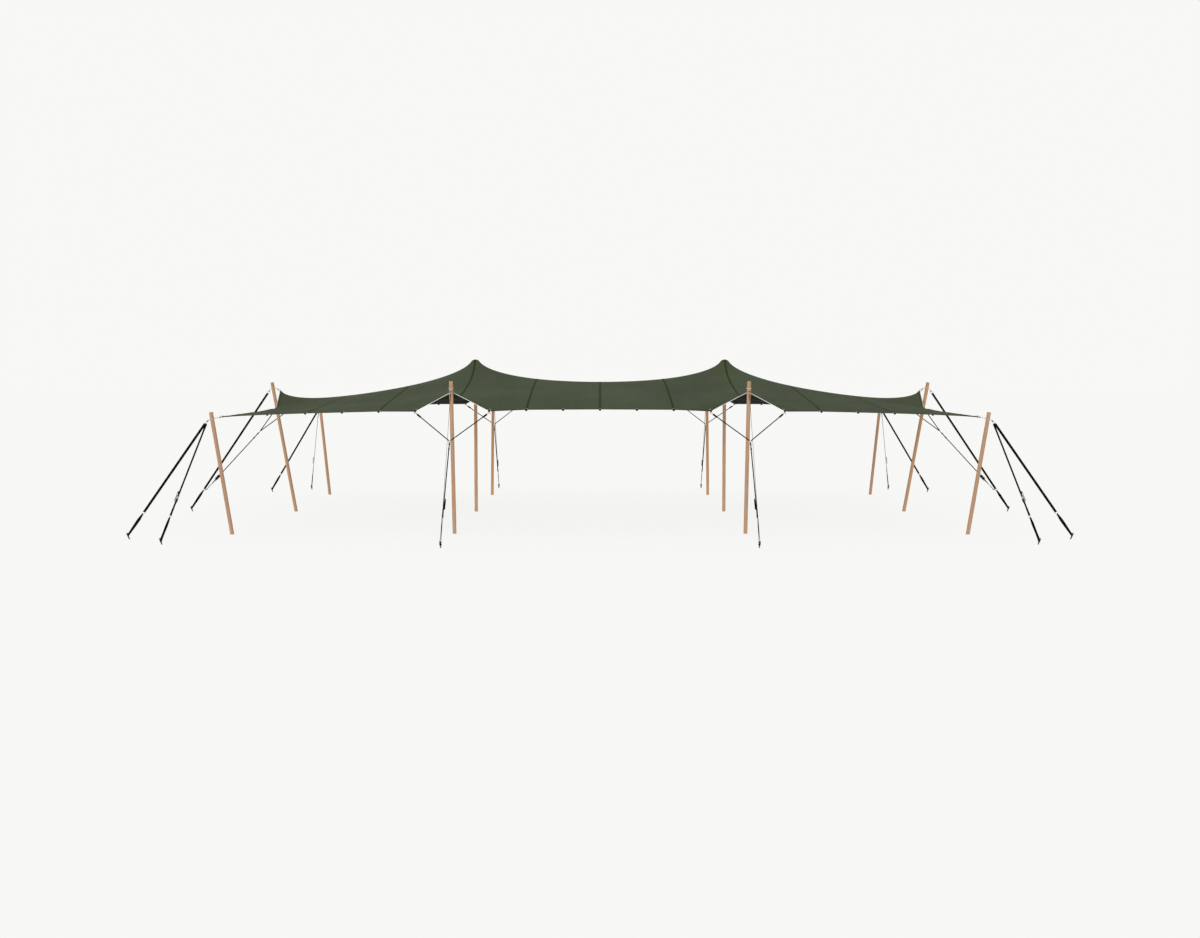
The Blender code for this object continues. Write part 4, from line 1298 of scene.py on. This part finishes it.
@dataclass
class Ratchet:
    """A closed strap ratchet in its own axes: x down the strap, y over its width, z out of its face."""

    plate_length: float = 0.150
    half_width: float = 0.030
    plate_thickness: float = 0.003
    spool_x: float = 0.034
    spool_z: float = 0.012
    spool_radius: float = 0.009
    coil_radius: float = 0.0185
    coil_turns: float = 2.2
    webbing_section: tuple[float, float] = (0.0024, 0.044)
    teeth: int = 16
    tooth_root: float = 0.0165
    tooth_height: float = 0.0035

    def plate(self, outline: Profile, y: float, thick: float, slot: int) -> Shape:
        """A flat plate in the x z plane, its outline anticlockwise from the front."""
        flat = np.array(outline)
        rows = np.stack([np.column_stack([flat[:, 0], np.full(len(flat), side), flat[:, 1]])
                         for side in (y - thick / 2, y + thick / 2)])
        return hose(rows[:, ::-1], slot=slot)

    def rod(self, x: float, z: float, radius: float, half: float, slot: int) -> Shape:
        """A round rod across the strap with softened ends."""
        soft = radius * 0.2
        profile = [(0.0, radius - soft), (soft, radius), (2 * half - soft, radius), (2 * half, radius - soft)]
        return turned(point(x, -half, z), point(0, 1, 0), profile, 20, slot)

    def round_spool(self, reach: Array, angle: Array) -> tuple[Array, Array]:
        """Places at a reach and an angle round the spool, as x and z."""
        return self.spool_x + reach * np.cos(angle), self.spool_z + reach * np.sin(angle)

    def wheel(self, y: float) -> Shape:
        """A toothed wheel: the radius rises evenly over each tooth and drops back."""
        count = self.teeth * 4
        reach = self.tooth_root + self.tooth_height * ((np.arange(count) % 4) / 3.0)
        outline = np.stack(self.round_spool(reach, round_angles(count)), axis=1)
        return self.plate(outline, y, self.plate_thickness, 0)

    def coil(self) -> Shape:
        """Webbing wound on the spool: an opening spiral, carried at the strap's width."""
        angle = np.linspace(0.0, self.coil_turns * math.tau, 60)
        reach = self.spool_radius + (self.coil_radius - self.spool_radius) * angle / angle[-1]
        x, z = self.round_spool(reach, angle)
        outline = band_outline(*self.webbing_section)
        return carried(np.stack([x, 0 * x, z], axis=1), outline, point(0, 1, 0), slot=2)

    def shape(self) -> Shape:
        """The whole ratchet: zinc in slot 0, black in slot 1, webbing in slot 2."""
        half, wide = self.plate_length / 2, self.half_width
        frame = [(-half, -0.006), (0.052, -0.008), (half - 0.006, -0.002), (half, 0.008)]
        frame += [(half - 0.008, 0.022), (0.048, 0.031), (0.018, 0.031), (-0.012, 0.020)]
        frame += [(-half + 0.006, 0.014), (-half, 0.006)]
        arm = [(-0.156, 0.018), (-0.02, 0.013), (0.028, 0.002), (0.044, 0.004), (0.048, 0.016)]
        arm += [(0.036, 0.026), (-0.01, 0.031), (-0.156, 0.031), (-0.163, 0.0245)]
        parts = []
        for hand in (-1, 1):
            parts.append(self.plate(frame, hand * wide, self.plate_thickness, 0))
            parts.append(self.plate(arm, hand * (wide - 0.0055), 0.0026, 0))
            parts.append(self.wheel(hand * (wide - 0.0105)))
            for x, z, radius, sides in ((self.spool_x, self.spool_z, 0.0085, 24), (-0.062, 0.003, 0.006, 6)):
                head = [(0.0, radius), (0.003, radius), (0.0045, radius * 0.8)]
                place = point(x, hand * (wide + self.plate_thickness / 2), z)
                parts.append(turned(place, point(0, hand, 0), head, sides, 0))
        rods = [(-0.062, 0.003, 0.0055, wide, 0), (self.spool_x, self.spool_z, 0.0080, wide, 0),
                (-0.146, 0.0245, 0.0075, wide - 0.004, 1)]
        parts += [self.rod(*rod) for rod in rods]
        blocks = [((0.040, 0.050, 0.013), 0.004, 1, -0.142, 0.0245),
                  ((0.052, 0.042, 0.004), 0.0012, 0, -0.030, 0.027),
                  ((0.020, 0.054, 0.003), 0.0012, 0, 0.002, 0.016),
                  ((0.060, 0.056, 0.003), 0.0010, 0, -0.035, -0.0055)]
        for size, soft, slot, x, z in blocks:
            parts.append(rounded_block(size, soft, slot).placed(point(x, 0, z), np.eye(3)))
        parts.append(self.coil())
        return Shape.joined(parts)


@dataclass
class Kit:
    """The shapes of one set of rigging, sorted by the finish that they take."""

    dark: bool = False
    shapes: dict[Trim, list[Shape]] = field(default_factory=lambda: {trim: [] for trim in Trim})
    ratchet: Shape | None = None

    def add(self, trim: Trim, *shapes: Shape) -> None:
        """Put shapes under a finish."""
        self.shapes[trim] += shapes


@dataclass
class Rigging:
    """Ropes, rings, webbing, slings, bridles, ratchets and stakes, each set shaped at +X and +Y."""

    poles: Poles
    canopy: Canopy
    rope_radius: float = 0.008
    leg_radius: float = 0.0112
    ring_radius: float = 0.026
    ring_wire: float = 0.005
    wide_ring_radius: float = 0.036
    wide_ring_spread: float = math.radians(50)
    eye_radius: float = 0.022
    eye_wire: float = 0.005
    eye_facets: int = 28
    strap_width: float = 0.050
    strap_thickness: float = 0.003
    strap_inset: float = 0.02
    strap_step: float = 0.08
    guy_twist: float = math.radians(3.5)
    twist_reach: float = 0.20
    tail_width: float = 0.028
    tail_taper: float = 1.45
    tail_turn: float = math.radians(20)
    tail_end_turn: float = math.radians(70)
    fold_length: float = 0.15
    fold_gap: float = 0.0003
    collar_drop: float = 0.135
    collar_slack: float = 0.0005
    collar_radius: float = 0.006
    sleeve_gap: float = 0.006
    sleeve_length: float = 0.034
    sleeve_swell: float = 1.35
    corner_ring_shift: Array = set_point(0.080, 0.080, -0.215)
    edge_ring_out: float = 0.095
    edge_ring_drop: float = 0.245
    corner_ring_fraction: float = 0.80
    edge_ring_fraction: float = 0.838
    sling_thickness: float = 0.004
    sling_ring_gap: float = 0.0004
    sling_stake_gap: float = 0.0006
    sewn_spread: float = 0.005
    stake_radius: float = 0.0125
    stake_length: float = 0.130
    stake_head: tuple[float, float] = (0.024, 0.012)
    stake_facets: int = 32
    stake_tie: float = 0.082
    stake_lean: float = math.radians(20)
    outer_stake: Array = set_point(9.355, 6.11, 0.0)
    inner_stake: Array = set_point(8.425, 7.03, 0.0)
    edge_stake: Array = set_point(3.0, 7.59, 0.0)
    side_stake: Array = set_point(9.87, 0.0, 0.0)
    bridle_out: float = 0.85
    bridle_height: float = 1.94
    edge_ratchet_fraction: float = 0.845
    side_ratchet_fraction: float = 0.79
    corner_ratchet_fraction: float = 0.652
    bridle_eye_turn: float = math.radians(60)
    link_slack: float = 0.0008
    ratchet_above: float = 0.066
    ratchet_below: float = 0.034
    shackles: tuple[tuple[float, Triple], ...] = (
        (0.078, (0.036, 0.026, 0.030)), (0.205, (0.046, 0.026, 0.030)),
    )
    pull_slope: float = 1.6
    hook_drop: float = 0.0053
    rope_in_hook: float = 0.044
    clamps: tuple[tuple[float, float], ...] = ((0.045, 0.052), (0.103, 0.045))
    clamp_radius: float = 0.0190
    edge_pull: tuple[float, float] = (5.37, 2.5275)
    side_pull: Triple = (7.62, 0.85, 2.51)

    def stake_axis(self, outward: Array) -> Array:
        """A stake's direction, its head leaning away from the tent."""
        return unit(UP * math.cos(self.stake_lean) + outward * math.sin(self.stake_lean))

    def fold(
        self, place: Array, way: Array, across: Array, wide: Array, length: float, width: float
    ) -> Shape:
        """A strap's end that is folded round a wire and sewn back.

        Its path, by distance from the wire and out from the strap's middle, runs along one side
        of the strap, round the wire in a half circle, and back along the other side.

        Args:
            place: the middle of the wire.
            way: the direction from the wire along the strap.
            across: the direction of the strap's thickness.
            wide: that of its width, along the wire.
            length: how far the sewn layers reach.
            width: the strap's width.

        Returns:
            The two outer layers with the bend between them.
        """
        layer = self.strap_thickness * 0.85
        turn = np.linspace(math.radians(60), math.radians(-60), 9)
        reach = self.ring_wire + layer / 2 + self.fold_gap
        bend = [(-reach * math.cos(a), reach * math.sin(a)) for a in turn]
        side = [(length, layer + 0.0004), (0.05, layer + 0.0004), (0.028, layer + 0.0010), (0.010, 0.0068)]
        fold = np.array(side + bend + [(far, -out) for far, out in reversed(side)])
        path = place + fold[:, :1] * way + fold[:, 1:] * across
        return carried(path, band_outline(layer, width * 0.98), wide)

    def strap(self, start: Array, end: Array, twist: float = 0.0) -> Shape:
        """Webbing on edge between two rings' wires, with both ends folded round them and sewn back.

        Args:
            start: the middle of the first ring's wire.
            end: the middle of the second one's.
            twist: the angle that it has turned by in its middle, and that goes to nothing at its folds.

        Returns:
            The strap and its two folds.
        """
        along, across, normal = line_frame(start, end)
        width, folded, inset = self.strap_width, self.fold_length, self.strap_inset
        length = span(start, end)
        runs = np.linspace(inset, length - inset, int(length / self.strap_step))
        free = np.clip((np.minimum(runs, length - runs) - folded) / self.twist_reach, 0.0, 1.0)
        path = start + runs[:, None] * along
        parts = [carried(path, band_outline(self.strap_thickness, width), normal, turn=twist * free)]
        for place, way in ((start, along), (end, -along)):
            parts.append(self.fold(place, way, across, normal, folded, width))
        return Shape.joined(parts)

    def tail(self, start: Array, end: Array, wide: Array) -> Shape:
        """The narrow webbing below a ratchet, which turns to lie along the wire that it is folded round.

        Args:
            start: where it leaves the ratchet.
            end: the middle of the wire.
            wide: the direction of its width at the wire.

        Returns:
            The strap and its fold.
        """
        along, _, normal = line_frame(start, end)
        length = span(start, end)
        runs = np.linspace(0.0, length - self.strap_inset, 17)
        turned_by = [0.0, length * 0.62]
        turn = np.interp(runs, turned_by, [self.tail_turn, self.tail_end_turn])
        scale = np.stack([np.ones(len(runs)), np.interp(runs, turned_by, [self.tail_taper, 1.0])], axis=1)
        outline = band_outline(self.strap_thickness, self.tail_width)
        strap = carried(start + runs[:, None] * along, outline, normal, scale=scale, turn=turn)
        fold = self.fold(end, -along, np.cross(along, wide), wide, length * 0.35, self.tail_width)
        return Shape.joined([strap, fold])

    def sling(self, ring_centre: Array, tie: Array, axis: Array) -> Shape:
        """The webbing sling on edge, from the lower ring's wire round the stake.

        Its two layers lie sewn together between the ring and the stake. Half its width goes
        14, 30, 28, 23, 19 mm from the ring to the stake, and that width turns from square to the
        line to along the stake.

        Args:
            ring_centre: the lower ring's centre.
            tie: where the sling meets the stake's line.
            axis: the stake's direction.

        Returns:
            The closed band.
        """
        along, across, normal = line_frame(ring_centre, tie)
        start = ring_centre + along * self.ring_radius
        length = span(start, tie)
        inner = self.ring_wire + self.sling_thickness / 2 + self.sling_ring_gap
        oval = self.stake_radius / math.sqrt(1 - float(np.dot(along, axis)) ** 2)
        outer = oval + self.sling_thickness / 2 + self.sling_stake_gap
        share = np.linspace(0.02, 0.96, 24)
        sewn = self.sewn_spread
        width = sewn + (inner - sewn) * (1 - share) ** 6 + (outer - sewn) * share**5
        ring_turn, stake_turn = np.radians(np.linspace(-80, 80, 11)), np.radians(np.linspace(85, -85, 15))
        run = np.concatenate([-inner * np.cos(ring_turn), length * share,
                              length + outer * np.cos(stake_turn), length * share[::-1]])
        out = np.concatenate([inner * np.sin(ring_turn), width, outer * np.sin(stake_turn), -width[::-1]])
        mix = np.concatenate([0 * ring_turn, share, 0 * stake_turn + 1, share[::-1]])
        half = np.interp(mix, [0, 0.25, 0.5, 0.75, 1], [0.014, 0.030, 0.028, 0.023, 0.019])
        wide = unit(normal * (1 - mix[:, None]) + axis * mix[:, None])
        path = start + run[:, None] * along + out[:, None] * across
        scale = np.stack([np.ones(len(half)), half / 0.022], axis=1)
        return carried(path, band_outline(self.sling_thickness, 0.044), wide, closed=True, scale=scale)

    def sleeve(self, start: Array, way: Array, length: float, radius: float) -> Shape:
        """A moulded sleeve or clamp on a rope: a round body with rolled ends."""
        soft = radius * 0.25
        end = [(0.0, radius - soft), (soft * 0.4, radius - soft * 0.3), (soft, radius)]
        return turned(start, way, end + [(length - far, wide) for far, wide in reversed(end)], 20)

    def head_sling(self, kit: Kit, tip: Array, pole: Pole, outward: Array, ring_top: Array) -> None:
        """Rope from the canopy's tip, collared round the pole, to the top of the ring outside it.

        Args:
            kit: takes the shapes.
            tip: the canopy's tip.
            pole: the pole that the rope goes round.
            outward: the level direction away from the tent.
            ring_top: where the ring's wire takes the rope.
        """
        collar = pole.top - pole.axis * self.collar_drop
        across = unit(np.cross(pole.axis, outward))
        square = np.cross(across, pole.axis)
        hold = pole.radius + self.rope_radius + self.collar_slack
        inner, outer = collar - square * hold, collar + square * hold
        tie, lead = unit(inner - tip), unit(ring_top - outer)
        eye = tip + tie * (self.eye_radius + self.eye_wire)
        turn = circle(collar, square, across, pole.radius + self.collar_radius, 64)
        kit.add(Trim.ROPE, rope(turn, self.collar_radius * 0.97, True, pole.axis))
        kit.add(Trim.STEEL, self.eye(eye, tie, unit(np.cross(tie, across))))
        tied = eye + tie * (self.eye_radius - self.eye_wire * 0.5)
        hung = ring_top + lead * self.ring_wire * 0.5
        for line in ((tied, inner), (outer, hung)):
            kit.add(Trim.ROPE, rope(np.array(line), self.rope_radius, lean=across))
        for place, way in ((tied, tie), (hung, -lead)):
            foot, radius = place + way * self.sleeve_gap, self.rope_radius * self.sleeve_swell
            kit.add(Trim.FITTING, self.sleeve(foot, way, self.sleeve_length, radius))

    def eye(self, centre: Array, first: Array, second: Array) -> Shape:
        """A small welded eye in the plane of two directions."""
        return steel_ring(centre, first, second, self.eye_radius, self.eye_wire, self.eye_facets)

    def guy(
        self, kit: Kit, head: Array, start: Array, fraction: float, place: Array, outward: Array,
        twist: float = 0.0,
    ) -> Array:
        """One webbing guy from a head ring: strap, lower ring and sling.

        Args:
            kit: takes the shapes.
            head: where the line starts, at the ring's centre or on its wire.
            start: where the strap itself starts, on the wire.
            fraction: how far down the line the lower ring is.
            place: the stake's foot.
            outward: the level direction from the pole's foot to the stake.
            twist: the strap's twist in its middle.

        Returns:
            Where the line meets the stake.
        """
        axis = self.stake_axis(outward)
        tie = place + axis * self.stake_tie
        lower = head + (tie - head) * fraction
        along, _, normal = line_frame(head, tie)
        strap = self.strap(start, lower - along * self.ring_radius, twist)
        kit.add(Trim.WEBBING, strap, self.sling(lower, tie, axis))
        kit.add(Trim.STEEL, steel_ring(lower, along, normal, self.ring_radius, self.ring_wire))
        return tie

    def hung_ratchet(self, start: Array, end: Array, fraction: float, side: int) -> Shape:
        """A ratchet in its place on a strap."""
        along, across, normal = line_frame(start, end)
        return Ratchet().shape().placed(start + (end - start) * fraction, (along, normal, across * side))

    def corner(self) -> Kit:
        """A corner's rope, ring and two webbing guys, one of them with a ratchet."""
        kit, pole = Kit(), self.poles.corner
        head = pole.top + self.corner_ring_shift
        down, across, _ = line_frame(head, (self.outer_stake + self.inner_stake) / 2)
        radius = self.wide_ring_radius
        self.head_sling(kit, point(*self.canopy.corner_tip), pole, unit(point(1, 1, 0)), head - down * radius)
        kit.add(Trim.STEEL, steel_ring(head, down, across, radius, self.ring_wire))
        turn = self.wide_ring_spread
        for place, side, has_ratchet in ((self.outer_stake, 1, False), (self.inner_stake, -1, True)):
            start = head + (down * math.cos(turn) + across * math.sin(turn) * side) * radius
            tie = self.guy(kit, start, start, self.corner_ring_fraction, place, pole.outward(place))
            if has_ratchet:
                kit.ratchet = self.hung_ratchet(start, tie, self.corner_ratchet_fraction, 1)
        return kit

    def edge_line(self, pole: Pole, place: Array) -> tuple[Array, Array, Array, Array]:
        """An edge guy's outward direction, head ring's centre, lower ring's centre and tie."""
        outward = pole.outward(place)
        head = pole.top + outward * self.edge_ring_out - UP * self.edge_ring_drop
        tie = place + self.stake_axis(outward) * self.stake_tie
        return outward, head, head + (tie - head) * self.edge_ring_fraction, tie

    def edge(self, tip: Array, pole: Pole, place: Array) -> Kit:
        """An edge or side pole's rope, ring, webbing guy, lower ring and sling."""
        kit = Kit()
        outward, head, _, tie = self.edge_line(pole, place)
        along, _, normal = line_frame(head, tie)
        self.head_sling(kit, tip, pole, outward, head - along * self.ring_radius)
        kit.add(Trim.STEEL, steel_ring(head, along, normal, self.ring_radius, self.ring_wire))
        start = head + along * self.ring_radius
        self.guy(kit, head, start, self.edge_ring_fraction, place, outward, self.guy_twist)
        return kit

    def fitting(self, centre: Array, axes: Axes, size: Triple) -> Shape:
        """A black shackle or buckle: a rounded body with a cross pin."""
        body = rounded_block(size, min(size) * 0.3).placed(centre, axes)
        wide = size[1]
        profile = [(0.0, 0.004), (0.001, 0.005), (wide + 0.009, 0.005), (wide + 0.010, 0.004)]
        return Shape.joined([body, turned(centre - axes[1] * (wide / 2 + 0.005), axes[1], profile, 16)])

    def bridle(self, pulls: Sequence[Array], pole: Pole, place: Array, fraction: float, side: int) -> Kit:
        """Two rope legs from the canopy's edge, their ring, and the strap with its ratchet.

        Args:
            pulls: where the legs hold the canopy's edge.
            pole: the pole between them.
            place: the stake of the pole's guy.
            fraction: how far down the line the ratchet is.
            side: which side of the strap the ratchet's face is on.

        Returns:
            The set.
        """
        kit = Kit(dark=True)
        outward, head, lower, tie = self.edge_line(pole, place)
        along, _, normal = line_frame(head, tie)
        spoke = -along * math.cos(self.bridle_eye_turn) - normal * math.sin(self.bridle_eye_turn)
        reach = self.ring_radius + self.eye_radius - self.eye_wire - self.ring_wire - self.link_slack
        eye = lower + spoke * reach
        eye_top = eye + spoke * self.eye_radius
        vertex = pole.foot + outward * self.bridle_out
        vertex[2] = self.bridle_height
        run, level, square = line_frame(vertex, eye_top)
        middle = vertex + (eye_top - vertex) * fraction
        wide = square * math.cos(self.tail_end_turn) - np.cross(run, square) * math.sin(self.tail_end_turn)
        kit.add(Trim.WEBBING, self.tail(middle + run * self.ratchet_below, eye_top, wide))
        line = np.array([vertex + run * (self.ring_radius - 0.002), middle - run * self.ratchet_above])
        kit.add(Trim.ROPE, rope(line, self.leg_radius))
        kit.add(Trim.STEEL, steel_ring(vertex, run, level, self.ring_radius, self.ring_wire))
        kit.add(Trim.STEEL, self.eye(eye, spoke, unit(wide - spoke * np.dot(wide, spoke))))
        for far, size in self.shackles:
            kit.add(Trim.FITTING, self.fitting(vertex + run * far, (run, level, square), size))
        drop = unit(outward - UP * self.pull_slope)
        for pull in pulls:
            hook = pull + drop * (self.eye_radius + self.eye_wire + self.hook_drop)
            leg = unit(vertex - hook)
            kit.add(Trim.STEEL, self.eye(hook, leg, unit(np.cross(np.cross(leg, drop), leg))))
            top = hook + leg * (self.eye_radius - self.eye_wire * 0.5)
            shank = [(0.0, 0.005), (0.004, 0.0065), (0.036, 0.0065), (0.042, 0.011), (0.048, 0.011)]
            kit.add(Trim.STEEL, turned(top, leg, shank, 20))
            low = vertex - leg * (self.ring_radius - self.ring_wire * 0.5)
            kit.add(Trim.ROPE, rope(np.array([top + leg * self.rope_in_hook, low]), self.leg_radius))
            for far, length in self.clamps:
                kit.add(Trim.FITTING, self.sleeve(top + leg * far, leg, length, self.clamp_radius))
        kit.ratchet = self.hung_ratchet(vertex, eye_top, fraction, side)
        return kit

    def stake(self, place: Array, pole: Pole) -> Shape:
        """A steel stake, cut level at the ground: a round bar under a hammered head."""
        head_radius, head_height = self.stake_head
        neck, top, bar = self.stake_length - head_height, self.stake_length, self.stake_radius
        profile = [(0.0, bar), (0.04, bar), (0.07, bar), (neck - 0.004, bar), (neck, bar + 0.003)]
        head = [(neck + 0.001, 0.002), (neck + 0.003, 0.0), (top - 0.004, 0.0004), (top - 0.001, 0.003)]
        profile += [(far, head_radius - inset) for far, inset in head + [(top, 0.007)]]
        axis = self.stake_axis(pole.outward(place))
        return turned(place, axis, profile, self.stake_facets).grounded(axis, self.stake_facets)

    def dress(self, kit: Kit, node: str, side_x: int, side_y: int) -> None:
        """Put one set's pieces on one side of the tent.

        Args:
            kit: the set's shapes.
            node: the CAD node that they stand for.
            side_x: the sign of its X.
            side_y: the sign of its Y.
        """
        looks = {
            Trim.WEBBING: (Look.WEBBING, "guy_webbing"),
            Trim.ROPE: (Look.DARK_ROPE if kit.dark else Look.PALE_ROPE, "bridle_rope"),
            Trim.STEEL: (Look.STEEL, "stake_steel"),
            Trim.FITTING: (Look.BLACK_STEEL, "stake_steel"),
        }
        for trim, (look, slot) in looks.items():
            shape = Shape.joined(kit.shapes[trim]).mirrored(side_x, side_y)
            add_piece(f"{node}_{trim.value}", shape, (look,), [node] if trim is Trim.WEBBING else [])
        if kit.ratchet is not None:
            body = Look.BLACK_STEEL if kit.dark else Look.STEEL
            shape = kit.ratchet.mirrored(side_x, side_y)
            add_piece(f"{node}_ratchet", shape, (body, Look.RUBBER, Look.WEBBING))

    def place(
        self, kits: dict[str, Kit], stakes: dict[str, Shape], where: str, side_x: int, side_y: int
    ) -> None:
        """Put sets and stakes on one side of the tent.

        Args:
            kits: the sets by the start of their nodes' names.
            stakes: the stakes, likewise.
            where: the end of those names.
            side_x: the sign of the side's X.
            side_y: the sign of its Y.
        """
        for kind, kit in kits.items():
            self.dress(kit, f"{kind}_{where}", side_x, side_y)
        for kind, stake in stakes.items():
            node, pin = f"{kind}_{where}", stake.mirrored(side_x, side_y)
            add_piece(f"{node}_pin", pin, (Look.STAKE_STEEL,), [node])

    def build(self) -> None:
        """Make every set of rigging and every stake."""
        p, c = self.poles, self.canopy
        edge_pulls = [point(c.pole_x + hand * c.loop_step, *self.edge_pull) for hand in (-1, 1)]
        side_pulls = [point(*self.side_pull) * (1, hand, 1) for hand in (-1, 1)]
        fours = {
            "corner_guys": self.corner(),
            "edge_guy": self.edge(point(*c.edge_tip), p.edge, self.edge_stake),
            "edge_bridle": self.bridle(edge_pulls, p.edge, self.edge_stake, self.edge_ratchet_fraction, -1),
        }
        pairs = {
            "side_guy": self.edge(point(*c.side_tip), p.side, self.side_stake),
            "side_bridle": self.bridle(side_pulls, p.side, self.side_stake, self.side_ratchet_fraction, 1),
        }
        four_stakes = {
            "corner_stake_outer": self.stake(self.outer_stake, p.corner),
            "corner_stake_inner": self.stake(self.inner_stake, p.corner),
            "edge_stake": self.stake(self.edge_stake, p.edge),
        }
        side_stakes = {"side_stake": self.stake(self.side_stake, p.side)}
        for hand in Hand:
            for face in Face:
                self.place(fours, four_stakes, f"{face.word}_{hand.word}", hand.value, face.value)
            self.place(pairs, side_stakes, hand.word, hand.value, 1)


@dataclass
class Studio:
    """Camera, plain pale floor and soft light."""

    lens: float = 42.0
    camera_place: Triple = (0.0, -33.8105, 3.0757)
    pitch: float = 86.5355
    floor_reach: float = 400.0
    sky: float = 1.0
    sun: float = 1.2
    sun_spread: float = 18.0
    sun_tilt: float = 83.0
    sun_turn: float = -20.0
    floor_glow: float = 0.888
    floor_light: float = 1.6

    def camera(self) -> None:
        """The photograph's camera."""
        data = bpy.data.cameras.new("camera")
        data.lens = self.lens
        data.sensor_width = 36.0
        data.clip_end = 2000.0
        item = new_object("camera", data)
        item.location = self.camera_place
        item.rotation_euler = (math.radians(self.pitch), 0.0, 0.0)
        bpy.context.scene.camera = item

    def floor(self) -> None:
        """A wide floor of faintly uneven pale plaster, which also lights the tent from below."""
        x = np.linspace(-self.floor_reach, self.floor_reach, 9)
        points = np.stack([*np.meshgrid(x, x, indexing="ij"), np.full((9, 9), -0.002)], axis=-1)
        mesh = grid(points, x, x).mesh("studio_floor")
        material, wiring = new_material("studio_floor")
        seen, lit = ((glow, glow, 0.982 * glow, 1.0) for glow in (self.floor_glow, self.floor_light))
        patches = wiring.noise(wiring.node("TexCoord").outputs["Object"], 0.6)
        camera_ray = wiring.node("LightPath").outputs["Is Camera Ray"]
        wiring.paint({
            "Base Color": wiring.mix(patches, (0.045, 0.045, 0.044, 1.0), (0.051, 0.051, 0.050, 1.0)),
            "Emission Color": wiring.mix(camera_ray, lit, seen),
            "Emission Strength": 1.0,
            "Roughness": 0.95,
            "Specular IOR Level": 0.0,
        })
        mesh.materials.append(material)
        new_object("studio_floor", mesh)

    def light(self) -> None:
        """An even pale sky and one broad soft light, low from the front left."""
        world = bpy.data.worlds.new("studio")
        world.use_nodes = True
        backdrop = world.node_tree.nodes["Background"]
        backdrop.inputs["Color"].default_value = linear(248, 248, 246)
        backdrop.inputs["Strength"].default_value = self.sky
        bpy.context.scene.world = world
        bpy.context.scene.view_settings.view_transform = "Standard"
        data = bpy.data.lights.new("soft_sun", "SUN")
        data.energy = self.sun
        data.angle = math.radians(self.sun_spread)
        turn = (math.radians(self.sun_tilt), 0.0, math.radians(self.sun_turn))
        new_object("soft_sun", data).rotation_euler = turn

    def build(self) -> None:
        """Make the whole setting."""
        self.camera()
        self.floor()
        self.light()


def main() -> None:
    """Load the part, and build the setting and the tent round it."""
    logging.basicConfig(level=logging.INFO, format="%(name)s %(message)s")
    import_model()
    Studio().build()
    make_effects()
    canopy, poles = Canopy(), Poles()
    poles.build()
    canopy.build()
    Rigging(poles, canopy).build()


if __name__ == "__main__":
    main()
